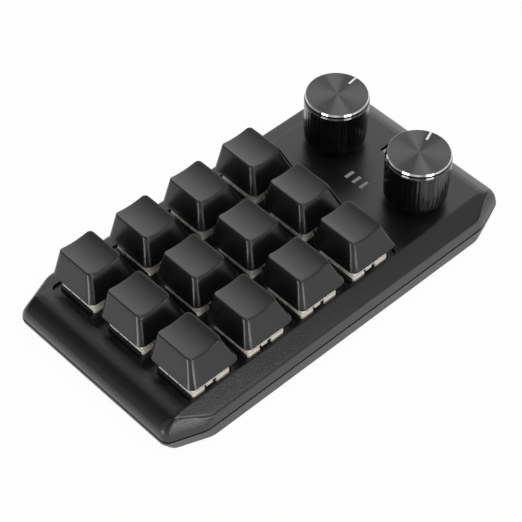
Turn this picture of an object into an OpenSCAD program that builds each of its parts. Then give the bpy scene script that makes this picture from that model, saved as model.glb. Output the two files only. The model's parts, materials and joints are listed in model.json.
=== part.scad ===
// Macro keypad: a low desk case with a block of twelve mechanical keys in a
// shallow well, two push-and-turn knobs, three indicator windows and a small
// slide switch. Millimetres. The origin lies on the desk under the middle of
// the case: +X runs towards the knobs, +Y away from the user, +Z up.

/* [Layout] */
// Distance between neighbouring keys, the same both ways
key_pitch = 21; // [20.6:0.1:22]
// Left end of the case to the middle of the first key column
left_margin = 20.3; // [19.5:0.1:24]
// Front or back edge of the case to the middle of the nearest key row
row_margin = 15; // [14.6:0.1:18]
// Last key column to the axes of the knobs
knob_offset = 30.5; // [30:0.1:36]
// Axes of the knobs to the right end of the case
right_margin = 22.5; // [21.8:0.1:26]
// Distance between the two knob axes
knob_spacing = 34.2; // [30:0.1:37]

/* [Case] */
// How far each cut corner reaches along the case
corner_cut_length = 11.5; // [8:0.1:14]
// How far each cut corner reaches across the case
corner_cut_width = 4.4; // [3:0.1:5]
// Rounding of the corners at the ends of the case
end_corner_radius = 2.8; // [1.5:0.1:4]
// Rounding where the cut corners meet the long sides
side_corner_radius = 9; // [4:0.5:12]
// Wall of both shells
shell_wall = 2; // [1.8:0.1:2.4]
// Height of the bottom shell from its underside to the seam
bottom_height = 5; // [4.6:0.1:5.4]
// Height of the side band of the top shell, from the seam to the crease
band_height = 4.1; // [3.6:0.1:4.6]
// How far the side band leans inwards on its way up
band_lean = 0.6; // [0.2:0.1:1]
// How far the cut corners lean inwards for each millimetre of height
corner_lean = 0.3; // [0.1:0.05:0.4]
// Width of the gentle bevel between the crease and the flat top
side_bevel = 6; // [5:0.1:7]
// Upright part of the top shell's ends, above the seam
end_upright = 1.4; // [1.2:0.1:1.8]
// Length of the rounded slope at each end, from the upright part to the flat top
end_curve_length = 7.4; // [5:0.1:8]
// How far the bottom shell's ends slope in on their way down
bottom_end_slope = 2.7; // [1.5:0.1:3.2]
// Rounding of the bottom shell's lower edge
bottom_edge = 1.1; // [0.8:0.1:1.3]

/* [Stack] */
// How far the rubber feet stand out of the bottom shell
foot_height = 0.8; // [0.5:0.1:1.5]
// Floor of the bottom shell
floor_thickness = 1.8; // [1.6:0.1:2.2]
// Free height between the floor and the circuit board
board_lift = 2.3; // [2.2:0.1:2.8]
// Thickness of the circuit board
board_thickness = 1.6; // [1.2:0.1:1.6]
// Top face of the board to the floor of the key well
plate_height = 5; // [4.9:0.1:5.4]
// Thickness of the well floor, which the switches snap into
plate_thickness = 1.5; // [1.3:0.1:1.6]
// Depth of the key well below the flat top
well_depth = 1; // [0.8:0.1:1.2]

/* [Key well] */
// Middle of the outer key columns to the ends of the well
well_margin_x = 10.35; // [9.6:0.05:11]
// Middle of the outer key rows to the long edges of the well
well_margin_y = 8.5; // [8.2:0.1:9]
// Rounding of the well's corners
well_radius = 2; // [1:0.1:3]

/* [Switches] */
// Square cut-out in the well floor for one switch
cutout = 14; // [13.9:0.05:14.2]
// Gap between a switch and its cut-out, on each side
cutout_clearance = 0.05; // [0.03:0.01:0.1]
// Width of the flange that rests on the well floor
flange_width = 15.6; // [15:0.1:16]
// Thickness of that flange
flange_thickness = 1; // [0.8:0.1:1.2]
// Well floor to the top of the switch housing
housing_height = 6.6; // [6.4:0.1:6.8]
// Step from the flange in to the upper housing's rim, on the left and right
rim_side_step = 0.8; // [0.6:0.1:0.9]
// How much closer than the flange's ends that rim lies, at the front and back
rim_end_step = 0.5; // [0.3:0.05:0.55]
// Height of that rim above the flange
rim_height = 0.65; // [0.5:0.05:0.9]
// Thickness of the skirts that reach down from the rim to the well floor
skirt_thickness = 0.6; // [0.5:0.05:0.7]
// Travel of a key
key_travel = 4; // [3.5:0.1:4]
// How far the stem's cross stands above the housing
cross_height = 3.6; // [3.4:0.1:3.8]
// Span of the stem's cross
cross_span = 4; // [3.9:0.05:4.1]
// Thickness of the cross's arms
cross_arm = 1.15; // [1:0.05:1.3]
// Diameter of the locating peg under each switch
peg_diameter = 4; // [3.8:0.1:4.2]
// Board top to the end of the peg and the pins
pin_reach = 3.3; // [3:0.1:3.4]
// Mean diameter of the return spring
spring_diameter = 3.9; // [3.7:0.1:4]
// Thickness of the spring's wire
spring_wire = 0.3; // [0.2:0.05:0.35]
// Turns of the return spring
spring_turns = 8; // [6:1:9]

/* [Keycaps] */
// Width of a keycap at its foot, both ways
cap_base = 18.3; // [17.8:0.1:18.4]
// Width of a keycap's top along X
cap_top_width = 11.9; // [11.6:0.1:12.4]
// Length of a keycap's top along Y
cap_top_length = 13.7; // [13.2:0.1:14.2]
// How far the top is shifted to the back
cap_top_shift = 2; // [1.6:0.1:2.1]
// Height of a keycap at the corners of its top
cap_height = 7.9; // [7.6:0.1:8.4]
// Depth of the dish in the keycap's top
cap_dish = 0.8; // [0.4:0.1:1]
// Rounding of the keycap's corners at its foot
cap_base_radius = 2.3; // [2:0.1:2.8]
// Rounding of the keycap's corners at its top
cap_top_radius = 1.5; // [1:0.1:1.8]
// Wall of a keycap
cap_wall = 1.4; // [1.2:0.1:1.5]
// Well floor to the foot of a keycap at rest
cap_lift = 5.8; // [5.7:0.1:6]
// Diameter of the post that grips the stem
cap_post = 5.5; // [5.2:0.1:5.6]

/* [Knobs] */
// Diameter of the knobs at their shoulder, where they are widest
knob_diameter = 20.1; // [18:0.1:22]
// How much narrower they are at the foot
knob_taper = 0.6; // [0.2:0.1:1]
// Height of the knobs
knob_height = 16; // [15:0.1:18]
// Flat top of the case to the underside of a knob
knob_clearance = 2.9; // [2:0.1:3.5]
// Width of the bevel around the flat disc on top
ring_bevel = 0.65; // [0.4:0.05:0.9]
// Height of the bright ring around the disc
ring_height = 0.8; // [0.6:0.1:1.2]
// Width of the groove under that ring
ring_groove = 0.5; // [0.3:0.1:0.8]
// Depth of the groove behind the shoulder
groove_depth = 0.55; // [0.3:0.05:0.7]
// Depth of the flutes around the side
flute_depth = 0.12; // [0.08:0.02:0.2]
// Number of flutes around the side
flute_count = 60; // [24:4:72]
// Plain rim below the flutes
flute_foot = 1.8; // [1:0.1:3]
// Length of the pointer line on top
pointer_length = 3.4; // [2:0.1:6]
// Width of that line
pointer_width = 0.7; // [0.5:0.05:1]
// Diameter of the hollow under the knob, which holds the insert
knob_hollow = 15; // [14:0.1:15.6]
// Thickness of metal left above that hollow
knob_crown = 3; // [2:0.1:4]
// Diameter of the encoder's shaft
shaft_diameter = 6; // [5.8:0.1:6.2]
// Depth of the flat on the shaft
shaft_flat = 1.5; // [1:0.1:1.8]
// Length of the shaft above the encoder's body
shaft_length = 15; // [14:0.5:16]
// Diameter of the encoder's bushing
bushing_diameter = 7; // [6.9:0.1:7.4]
// Length of the bushing above the encoder's body
bushing_length = 5; // [4:0.5:5]
// Height of the encoder's body on the board
encoder_height = 4.3; // [4.2:0.1:4.3]
// Width of the encoder's body
encoder_width = 12; // [11.6:0.1:12.4]
// Travel of a knob when it is pushed
push_travel = 0.5; // [0.3:0.1:0.5]

/* [Indicators and ports] */
// Length of an indicator window along X
window_length = 3.7; // [3:0.1:4]
// Width of an indicator window along Y
window_width = 1.3; // [1:0.05:1.4]
// Distance between neighbouring windows
window_pitch = 3.05; // [2.6:0.05:3.2]
// Indicator windows to the knob axes, along X
window_offset = 7.6; // [7.4:0.1:8.4]
// How deep the windows sit below the flat top
window_sink = 0.1; // [0.1:0.1:0.6]
// Knob axes to the middle of the slide switch's slot
slot_offset = 8.8; // [8.4:0.1:10]
// Length of the slot along Y
slot_length = 8.4; // [8:0.1:9]
// Width of the slot along X
slot_width = 3.6; // [3.2:0.1:4]
// Travel of the slider
slider_travel = 4; // [2:0.1:4]
// How deep the slider sits below the flat top
slider_sink = 0.4; // [0.2:0.1:0.6]
// Width of the USB-C socket's metal shell
usb_width = 8.94; // [8.9:0.01:9]
// Height of that shell
usb_height = 3.2; // [3.16:0.01:3.26]
// Depth of that shell
usb_depth = 7.3; // [6.8:0.1:8]
// Gap around the socket in the case's wall
usb_gap = 0.4; // [0.2:0.1:0.6]

/* [Fixings] */
// Diameter of the screws' shanks
screw_diameter = 2.5; // [2:0.1:2.6]
// Diameter of the screws' heads
screw_head = 4.6; // [4:0.1:4.8]
// Height of the screws' heads
screw_head_height = 1.6; // [1.2:0.1:1.6]
// Diameter of the bosses that take the screws
boss_diameter = 5.5; // [5:0.1:5.8]
// Diameter of the rubber feet
foot_diameter = 9; // [7:0.5:10]
// How deep the feet sit in the bottom shell
foot_recess = 0.7; // [0.4:0.1:0.8]
// Running clearance of moving and assembled pieces
clearance = 0.05; // [0.03:0.01:0.08]

/* [Hidden] */
columns = 4;
rows = 3;
KEYS = ["01", "02", "03", "04", "05", "06", "07", "08", "09", "10", "11", "12"];
$fn = 64;
eps = 0.01;

case_length = left_margin + (columns - 1) * key_pitch + knob_offset + right_margin;
case_width = (rows - 1) * key_pitch + 2 * row_margin;
half_length = case_length / 2;
half_width = case_width / 2;

// Heights from the desk
bottom_z = foot_height;
floor_z = bottom_z + floor_thickness;
board_z = floor_z + board_lift;
board_top_z = board_z + board_thickness;
plate_z = board_top_z + plate_height;
ceiling_z = plate_z - plate_thickness;
top_z = plate_z + well_depth;
seam_z = bottom_z + bottom_height;
crease_z = seam_z + band_height;
flange_z = plate_z + flange_thickness;
housing_z = plate_z + housing_height;
cross_z = housing_z + cross_height;
cap_z = plate_z + cap_lift;
knob_z = top_z + knob_clearance;
encoder_z = board_top_z + encoder_height;
screw_seat_z = floor_z;

// Places along X and Y
first_key_x = left_margin - half_length;
last_key_x = first_key_x + (columns - 1) * key_pitch;
first_row_y = (rows - 1) * key_pitch / 2;
knob_x = last_key_x + knob_offset;
window_x = knob_x - window_offset;
slot_x = knob_x + slot_offset;
usb_x = window_x;
usb_mid_z = board_z + board_thickness / 2;
boss_end_inset = 9.3;
boss_side_inset = 11.8;
mid_boss_offset = 13.3;
mid_boss_inset = 8.8;
screw_places = [
    [-half_length + boss_end_inset, -half_width + boss_side_inset],
    [-half_length + boss_end_inset, half_width - boss_side_inset],
    [half_length - boss_end_inset, -half_width + boss_side_inset],
    [half_length - boss_end_inset, half_width - boss_side_inset],
    [last_key_x + mid_boss_offset, -half_width + mid_boss_inset],
    [last_key_x + mid_boss_offset, half_width - mid_boss_inset]];
foot_end_inset = 20.8;
foot_side_inset = 8.8;

// The cut corners: their outward direction and their distance from the middle
corner_normal = [corner_cut_width, corner_cut_length] / norm([corner_cut_width, corner_cut_length]);
corner_reach = corner_normal * [half_length, half_width - corner_cut_width];
least_cut = 0.6;
bottom_upright = bottom_height * 0.28;
bottom_corner_slope = 1;
wall_lift = 0.6;

// Seam: the bottom shell's lip stands in a rebate of the top shell
lip_thickness = 0.8;
lip_height = 1.2;
lip_gap = 0.1;

// Switch details
housing_wall = 1.1;
housing_floor = 1.2;
housing_top_width = 10.4;
housing_top_depth = 9;
housing_mouth_width = 7.4;
housing_mouth_depth = 5.7;
housing_roof = 1.2;
housing_skin = 0.85;
stem_width = 7;
stem_depth = 5.3;
stem_shoulder = 9;
stem_shoulder_gap = 0.15;
stem_hollow = 4.8;
stem_roof = 0.8;
stem_drop = 4.9;
pole_diameter = 1.9;
pole_gap = 0.1;
tube_wall = 0.35;
tube_height = 3.3;
pin_width = 1.2;
pin_thickness = 0.3;
pin_a = [-3.81, 2.54];
pin_b = [2.54, 5.08];
pin_hole = 1.5;
rim_width = flange_width - 2 * rim_side_step;
rim_depth = flange_width - 2 * rim_end_step;
flange_depth = rim_depth - 2 * skirt_thickness;
rim_radius = 0.8;
rim_ledge = 0.5;

// Notches of the rim: [place, width] at the front and back, place on the left and right
end_notches = [[-2.2, 0.9], [1.25, 1.4]];
side_notches = [-1.2, 2.9];
notch_depth = 0.75;
tongue_drop = 0.1;
tongue_step = 0.2;
side_notch_width = 0.45;
side_notch_depth = 0.5;

// Terminals of the encoders and of the slide switch, from their middles
encoder_pin_out = 1.25;
encoder_pins = concat([for (x = [-2.5, 0, 2.5]) [x, -encoder_width / 2 - encoder_pin_out]],
                      [for (x = [-2.5, 2.5]) [x, encoder_width / 2 + encoder_pin_out]]);
mode_pins = [-2.5, 0, 2.5];
terminal_width = 0.8;

// Encoder and knob details
encoder_base_height = 1.5;
encoder_roof = 0.6;
encoder_pocket_gap = 0.4;
bushing_gap = 0.2;
encoder_tab_width = 2;
encoder_tab_thickness = 0.5;
encoder_tab_x = encoder_width / 2 + 0.15;
plunger_diameter = 3.6;
plunger_z = board_top_z + 0.4 + push_travel + 0.1;
rotor_z = board_top_z + encoder_base_height + push_travel + 0.5;
rotor_height = 0.9;
rotor_diameter = 9;
insert_lift = 2;
knob_edge = 0.35;
ring_step = 0.15;
shoulder_bevel = 0.4;
flute_radius = 0.3;
flute_head = 0.6;
pointer_depth = 0.15;
pointer_angles = [21.4, 7.7];

// Socket and slide switch
usb_front = half_width - 0.6;
usb_skin = 0.3;
usb_back = 1.1;
usb_tongue_width = usb_width - 2.24;
usb_tongue_thickness = 0.7;
mode_body_height = 2.9;
slider_end_gap = 0.6;
slider_length = slot_length - slider_travel - 2 * slider_end_gap;

// Parts soldered to the board
chip_size = 7;
crystal = [3.2, 2.5, 0.8];
resistor = [1.6, 0.8, 0.5];
diode = [2.7, 1.6, 1.1];
lamp = [1.6, 0.8, 0.7];
chip_offset = 4;
crystal_gap = 2.75;
resistor_pitch = 2;
diode_offset = 6;

function unit(v) = v / norm(v);

// Arc of radius r that rounds the corner b between a and c
function corner_arc(a, b, c, r, n) =
    let (u = unit(a - b),
         v = unit(c - b),
         half = acos(max(-1, min(1, u * v))) / 2,
         centre = b + unit(u + v) * r / sin(half),
         p = b + u * r / tan(half) - centre,
         q = b + v * r / tan(half) - centre,
         start = atan2(p.y, p.x),
         turn = atan2(q.y, q.x) - start,
         sweep = turn > 180 ? turn - 360 : turn < -180 ? turn + 360 : turn)
    [for (i = [0:n]) centre + r * [cos(start + sweep * i / n), sin(start + sweep * i / n)]];

// Polygon with rounded corners
function rounded(points, radii, n = 6) =
    let (m = len(points))
    [for (i = [0:m - 1])
        each corner_arc(points[(i + m - 1) % m], points[i], points[(i + 1) % m], radii[i], n)];

function rectangle(w, d, cx = 0, cy = 0) =
    [[cx - w / 2, cy - d / 2], [cx + w / 2, cy - d / 2], [cx + w / 2, cy + d / 2], [cx - w / 2, cy + d / 2]];

module rounded_rectangle(w, d, r, cx = 0, cy = 0, n = 6) {
    polygon(rounded(rectangle(w, d, cx, cy), [r, r, r, r], n));
}

// Box centred on x and y, standing on z
module block(w, d, z, h, x = 0, y = 0) {
    translate([x - w / 2, y - d / 2, z]) cube([w, d, h]);
}

// Outline of the case at the seam, moved inwards by inset
module case_plan(inset = 0) {
    polygon(case_outline(seam_z, inset));
}

// Reach of the case from the middle at height z: along X, along Y and square to a cut corner
function end_at(z) =
    let (up = max(0, z - seam_z - end_upright) / (top_z - seam_z - end_upright),
         down = max(0, seam_z - bottom_upright - z) / (bottom_height - bottom_upright))
    half_length - end_curve_length * (1 - sqrt(1 - min(1, up) ^ 2)) - bottom_end_slope * down;
function side_at(z) =
    half_width - band_lean * max(0, min(z, crease_z) - seam_z) / band_height
    - side_bevel * max(0, z - crease_z) / (top_z - crease_z);
function corner_at(z) =
    let (below = max(0, seam_z - z) / bottom_height)
    corner_reach - corner_lean * max(0, z - seam_z) - bottom_corner_slope * below;
function edge_round(z) =
    let (low = max(0, 1 - (z - bottom_z) / bottom_edge))
    bottom_edge * (1 - sqrt(1 - min(1, low) ^ 2));

// Outline of the case at height z, moved inwards by inset
function case_outline(z, inset) =
    let (gap = inset + edge_round(z),
         x = end_at(z) - gap,
         y = side_at(z) - gap,
         reach = corner_at(z) - gap,
         cx = min((reach - corner_normal.y * y) / corner_normal.x, x - least_cut),
         cy = min((reach - corner_normal.x * x) / corner_normal.y, y - least_cut * 0.4),
         fit = min(1, norm([x - cx, y - cy]) / (0.2 * side_corner_radius + 0.75 * end_corner_radius)),
         s = fit * side_corner_radius,
         e = fit * end_corner_radius,
         points = [[-cx, -y], [cx, -y], [x, -cy], [x, cy], [cx, y], [-cx, y], [-x, cy], [-x, -cy]])
    rounded(points, [s, s, e, e, s, s, e, e]);

// Solid through the outlines at the given heights, shifted from the outline's own height by lift
module case_loft(heights, inset = 0, lift = 0) {
    rings = [for (z = heights) case_outline(z + lift, inset)];
    n = len(rings[0]);
    last = len(heights) - 1;
    points = [for (i = [0:last]) each [for (p = rings[i]) [p.x, p.y, heights[i]]]];
    sides = [for (i = [0:last - 1], k = [0:n - 1])
        let (a = i * n + k, b = i * n + (k + 1) % n)
        each [[a, a + n, b + n], [a, b + n, b]]];
    low = [for (k = [0:n - 1]) k];
    high = [for (k = [n - 1:-1:0]) last * n + k];
    polyhedron(points, concat(sides, [low, high]), convexity = 4);
}

module top_outside() {
    up = seam_z + end_upright;
    ends = [for (i = [0:2]) up + (crease_z - up) * i / 3];
    crown = [for (i = [0:8]) crease_z + (top_z - crease_z) * sin(90 * i / 8)];
    case_loft(concat([seam_z], ends, crown));
}

module top_inside() {
    crown = [for (i = [0:3]) crease_z - 1 + (ceiling_z - crease_z + 1) * i / 3];
    case_loft(concat([seam_z - 1, seam_z + end_upright], crown), shell_wall, wall_lift);
}

module bottom_outside() {
    edge = [for (i = [0:5]) bottom_z + bottom_edge * (1 - cos(90 * i / 5))];
    case_loft(concat(edge, [seam_z - bottom_upright, seam_z]));
}

module bottom_inside() {
    case_loft([floor_z, board_z - 0.3, seam_z + 2 * lip_height], shell_wall, 0.3);
}

module at_keys() {
    for (row = [0:rows - 1])
        for (column = [0:columns - 1])
            translate([first_key_x + column * key_pitch, first_row_y - row * key_pitch, 0]) children();
}

module at_key(index) {
    translate([first_key_x + (index % columns) * key_pitch,
               first_row_y - floor(index / columns) * key_pitch, 0]) children();
}

module at_knobs() {
    for (side = [-1, 1]) translate([knob_x, side * knob_spacing / 2, 0]) children();
}

module at_windows() {
    for (i = [-1:1]) translate([window_x, i * window_pitch, 0]) children();
}

module at_screws() {
    for (place = screw_places) translate([place.x, place.y, 0]) children();
}

module at_feet() {
    for (sx = [-1, 1], sy = [-1, 1])
        translate([sx * (half_length - foot_end_inset), sy * (half_width - foot_side_inset), 0]) children();
}

// Opening for the plug in the back wall, shared by both shells
module usb_opening() {
    w = usb_width + 2 * usb_gap;
    h = usb_height + 2 * usb_gap;
    translate([usb_x, half_width + 1, usb_mid_z]) rotate([90, 0, 0])
        linear_extrude(shell_wall + 3) rounded_rectangle(w, h, h / 2 - 0.1);
}

// Top shell: bevelled cover with the key well, bosses and openings
module top_shell() {
    well_x = (first_key_x + last_key_x) / 2;
    well_length = last_key_x - first_key_x + 2 * well_margin_x;
    well_width = (rows - 1) * key_pitch + 2 * well_margin_y;
    rebate = shell_wall - lip_thickness - lip_gap;
    pocket = encoder_width + 2 * encoder_pocket_gap;
    color("#26272a") difference() {
        union() {
            difference() {
                top_outside();
                top_inside();
                translate([0, 0, seam_z - 1]) linear_extrude(lip_height + lip_gap + 1) case_plan(rebate);
            }
            at_screws() translate([0, 0, board_z]) cylinder(d = boss_diameter, h = ceiling_z - board_z + 0.5);
        }
        translate([0, 0, plate_z]) linear_extrude(well_depth + 1)
            rounded_rectangle(well_length, well_width, well_radius, well_x);
        at_keys() block(cutout, cutout, ceiling_z - 1, plate_thickness + 2);
        at_knobs() {
            block(pocket, pocket, ceiling_z - eps, encoder_z + 0.1 - ceiling_z + eps);
            translate([0, 0, ceiling_z])
                cylinder(d = bushing_diameter + 2 * bushing_gap, h = top_z - ceiling_z + 1);
        }
        at_windows() block(window_length, window_width, ceiling_z - 1, top_z - ceiling_z + 2);
        block(slot_width, slot_length, ceiling_z - 1, top_z - ceiling_z + 2, slot_x);
        at_screws() translate([0, 0, board_z - 1])
            cylinder(d = screw_diameter + 2 * clearance, h = ceiling_z - board_z + 0.6);
        usb_opening();
    }
}

// Bottom shell: tray with a lip, screw posts and seats for the feet
module bottom_shell() {
    color("#242528") difference() {
        union() {
            difference() {
                union() {
                    bottom_outside();
                    translate([0, 0, seam_z - 1]) linear_extrude(1 + lip_height)
                        case_plan(shell_wall - lip_thickness);
                }
                bottom_inside();
            }
            at_screws() translate([0, 0, floor_z - 1])
                cylinder(d = boss_diameter + 2, h = board_z - floor_z + 1);
        }
        at_screws() translate([0, 0, bottom_z - 1]) {
            cylinder(d = screw_diameter + 0.4, h = board_z - bottom_z + 2);
            cylinder(d = screw_head + 0.6, h = screw_seat_z - bottom_z + 1);
        }
        at_feet() translate([0, 0, bottom_z - 1])
            cylinder(d = foot_diameter + 4 * clearance, h = foot_recess + 1);
        usb_opening();
    }
}

// Circuit board with its holes and the notch for the socket
module main_board() {
    tab_slot = [encoder_tab_thickness + 0.4, encoder_tab_width + 0.6];
    color("#1d5a33") difference() {
        translate([0, 0, board_z]) linear_extrude(board_thickness) case_plan(shell_wall + 0.5);
        at_keys() {
            translate([0, 0, board_z - 1])
                cylinder(d = peg_diameter + 2 * clearance, h = board_thickness + 2);
            for (p = [pin_a, pin_b])
                translate([p.x, p.y, board_z - 1]) cylinder(d = pin_hole, h = board_thickness + 2, $fn = 24);
        }
        at_screws() translate([0, 0, board_z - 1]) cylinder(d = boss_diameter + 0.6, h = board_thickness + 2);
        at_knobs() {
            for (s = [-1, 1])
                block(tab_slot.x, tab_slot.y, board_z - 1, board_thickness + 2, s * encoder_tab_x);
            for (p = encoder_pins) translate([p.x, p.y, board_z - 1])
                cylinder(d = terminal_width + 0.4, h = board_thickness + 2, $fn = 24);
        }
        for (y = mode_pins) translate([slot_x, y, board_z - 1])
            cylinder(d = 1, h = board_thickness + 2, $fn = 24);
        block(usb_width + 0.3, usb_depth + 4, board_z - 1, board_thickness + 2, usb_x,
              usb_front - usb_depth / 2 + 1.8);
    }
}

// Lower housing of a switch: flange, box, peg and the tube that guides the stem
module lower_housing() {
    box = cutout - 2 * cutout_clearance;
    inner = box - 2 * housing_wall;
    tube = pole_diameter + 2 * pole_gap;
    difference() {
        union() {
            difference() {
                union() {
                    block(box, box, board_top_z, plate_z - board_top_z);
                    block(flange_width, flange_depth, plate_z, flange_thickness);
                }
                block(inner, inner, board_top_z + housing_floor, plate_height + flange_thickness);
            }
            translate([0, 0, board_top_z - pin_reach])
                cylinder(d = peg_diameter - 2 * clearance, h = pin_reach + 0.2);
            translate([0, 0, board_top_z + 0.1])
                cylinder(d = tube + 2 * tube_wall, h = housing_floor + tube_height - 0.1);
        }
        translate([0, 0, board_top_z - pin_reach + 1]) cylinder(d = tube, h = plate_height + pin_reach);
        for (p = [pin_a, pin_b])
            block(pin_width + 0.2, pin_thickness + 0.2, board_top_z - 1, housing_floor + 2, p.x, p.y);
    }
}

module switch_lower_housings() {
    color("#1b1b1d") at_keys() lower_housing();
}

// Block whose four sides lean in from the size below to the size above
module frustum(low, high, z, h) {
    intersection() {
        translate([0, low.y, z]) rotate([90, 0, 0]) linear_extrude(2 * low.y)
            polygon([[-low.x / 2, 0], [low.x / 2, 0], [high.x / 2, h], [-high.x / 2, h]]);
        translate([-low.x, 0, z]) rotate([90, 0, 90]) linear_extrude(2 * low.x)
            polygon([[-low.y / 2, 0], [low.y / 2, 0], [high.y / 2, h], [-high.y / 2, h]]);
    }
}

// Upper housing of a switch: notched rim with skirts at the front and back, and a
// sloping hood with a square mouth
module upper_housing() {
    rim_z = flange_z + rim_height;
    hood = [rim_width - 2 * rim_ledge, rim_depth - 2 * rim_ledge];
    top = [housing_top_width, housing_top_depth];
    skin = [2 * housing_skin, 2 * housing_skin];
    tongue = end_notches[1].x - end_notches[0].x;
    tongue_x = (end_notches[0].x + end_notches[1].x) / 2;
    under = flange_thickness - tongue_drop + 1;
    through = rim_z - plate_z + 2;
    difference() {
        union() {
            difference() {
                translate([0, 0, plate_z]) linear_extrude(flange_thickness + rim_height)
                    rounded_rectangle(rim_width, rim_depth, rim_radius, n = 3);
                block(rim_width + 2, flange_depth, plate_z - 1, flange_thickness + 1);
            }
            frustum(hood, top, rim_z - eps, housing_z - rim_z + eps);
        }
        block(hood.x - skin.x, hood.y - skin.y, flange_z - 1, rim_height + 1);
        frustum(hood - skin, [stem_shoulder + 0.4, top.y - skin.y], rim_z - eps,
                housing_z - housing_roof - rim_z + eps);
        block(housing_mouth_width, housing_mouth_depth, housing_z - housing_roof - 1, housing_roof + 2);
        for (s = [-1, 1]) {
            end_x = s * rim_width / 2;
            end_y = s * rim_depth / 2;
            for (notch = end_notches)
                block(notch[1], 2 * notch_depth, plate_z - 1, through, notch[0], end_y);
            block(tongue, 2 * notch_depth, plate_z - 1, under, tongue_x, end_y);
            block(tongue, 2 * tongue_step, plate_z - 1, through, tongue_x, end_y);
            for (y = side_notches)
                block(2 * side_notch_depth, side_notch_width, flange_z - 1, rim_height + 2, end_x, y);
        }
    }
}

module switch_upper_housings() {
    color("#e9dfd0") at_keys() upper_housing();
}

// Terminals: two for each key switch, five for each encoder, three for the slide switch
module contacts_and_pins() {
    pin_z = board_top_z - pin_reach + 0.1;
    inside_z = board_top_z + housing_floor;
    leaf_y = pin_b.y;
    half = pin_thickness / 2;
    color("#c9a86a") {
        at_keys() {
            block(pin_width, pin_thickness, pin_z, inside_z + 0.3 - pin_z, pin_a.x, pin_a.y);
            translate([pin_a.x - pin_width / 2, pin_a.y - half, inside_z])
                cube([pin_width, leaf_y - pin_a.y + pin_thickness, pin_thickness]);
            block(pin_width, pin_thickness, inside_z, plate_height - housing_floor, pin_a.x, leaf_y);
            block(pin_width, pin_thickness, pin_z, board_top_z + plate_height - pin_z, pin_b.x, pin_b.y);
        }
        at_knobs() for (p = encoder_pins) {
            side = sign(p.y);
            reach = abs(p.y) + half - encoder_width / 2 + 0.2;
            foot_y = side * (abs(p.y) + half - reach / 2);
            block(terminal_width, pin_thickness, pin_z, board_top_z + 0.5 + pin_thickness - pin_z, p.x, p.y);
            block(terminal_width, reach, board_top_z + 0.5, pin_thickness, p.x, foot_y);
        }
        for (y = mode_pins) block(0.5, pin_thickness, pin_z, board_top_z - pin_z, slot_x, y);
    }
}

// Keycap: hollow truncated block with a dished top and a post for the stem
module keycap(index) {
    ceiling = cap_height - cap_dish - cap_wall;
    rise = ceiling / cap_height;
    inner_width = cap_base + (cap_top_width - cap_base) * rise - 2 * cap_wall;
    inner_length = cap_base + (cap_top_length - cap_base) * rise - 2 * cap_wall;
    dish_radius = (cap_top_width ^ 2 / 4 + cap_dish ^ 2) / (2 * cap_dish);
    slot = cross_span + 2 * clearance;
    arm = cross_arm + 2 * clearance;
    post_z = housing_z + 0.2;
    color("#2b2b2e") at_key(index) difference() {
        union() {
            difference() {
                hull() {
                    translate([0, 0, cap_z]) linear_extrude(eps)
                        rounded_rectangle(cap_base, cap_base, cap_base_radius);
                    translate([0, 0, cap_z + cap_height - eps]) linear_extrude(eps)
                        rounded_rectangle(cap_top_width, cap_top_length, cap_top_radius, 0, cap_top_shift);
                }
                hull() {
                    translate([0, 0, cap_z - eps]) linear_extrude(eps) rounded_rectangle(
                        cap_base - 2 * cap_wall, cap_base - 2 * cap_wall, cap_base_radius - cap_wall / 2);
                    translate([0, 0, cap_z + ceiling]) linear_extrude(eps) rounded_rectangle(
                        inner_width, inner_length, cap_top_radius, 0, cap_top_shift * rise);
                }
                translate([0, 0, cap_z + cap_height - cap_dish + dish_radius]) rotate([90, 0, 0])
                    cylinder(r = dish_radius, h = 2 * cap_base, center = true, $fn = 180);
            }
            translate([0, 0, post_z]) cylinder(d = cap_post, h = cap_z + ceiling - post_z + 0.2);
        }
        block(slot, arm, post_z - 1, cross_z + 0.02 - post_z + 1);
        block(arm, slot, post_z - 1, cross_z + 0.02 - post_z + 1);
    }
}

// Key stem: cross, slider with its stop shoulders, and the pole inside the spring
module key_stem(index) {
    slider_z = housing_z - stem_drop;
    shoulder_z = housing_z - housing_roof - stem_shoulder_gap;
    roof_z = housing_z - stem_roof;
    color("#6b4a2f") at_key(index) {
        block(cross_span, cross_arm, housing_z - 0.2, cross_height + 0.2);
        block(cross_arm, cross_span, housing_z - 0.2, cross_height + 0.2);
        difference() {
            union() {
                block(stem_width, stem_depth, slider_z, stem_drop - 0.1);
                block(stem_shoulder, stem_depth, slider_z, shoulder_z - slider_z);
            }
            translate([0, 0, slider_z - 1]) cylinder(d = stem_hollow, h = roof_z - slider_z + 1);
        }
        pole_z = board_top_z - pin_reach + 1.2 + key_travel;
        translate([0, 0, pole_z]) cylinder(d = pole_diameter, h = roof_z - pole_z + 0.1);
    }
}

// Return spring: a helix of square wire from the housing floor to the stem's roof
module key_spring(index) {
    steps = 8;
    rings = spring_turns * steps;
    low = board_top_z + housing_floor + spring_wire / 2 + 0.02;
    high = housing_z - stem_roof - spring_wire / 2 - 0.02;
    r = spring_diameter / 2;
    w = spring_wire / 2;
    points = [for (i = [0:rings])
        let (a = 360 * i / steps, z = low + (high - low) * i / rings)
        each [[(r + w) * cos(a), (r + w) * sin(a), z], [r * cos(a), r * sin(a), z + w],
              [(r - w) * cos(a), (r - w) * sin(a), z], [r * cos(a), r * sin(a), z - w]]];
    sides = [for (i = [0:rings - 1], k = [0:3])
        let (a = 4 * i + k, b = 4 * i + (k + 1) % 4)
        each [[a, b, b + 4], [a, b + 4, a + 4]]];
    last = 4 * rings;
    ends = [[0, 3, 2], [0, 2, 1], [last, last + 1, last + 2], [last, last + 2, last + 3]];
    color("#b9bcc0") at_key(index) polyhedron(points, concat(sides, ends), convexity = 10);
}

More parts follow.
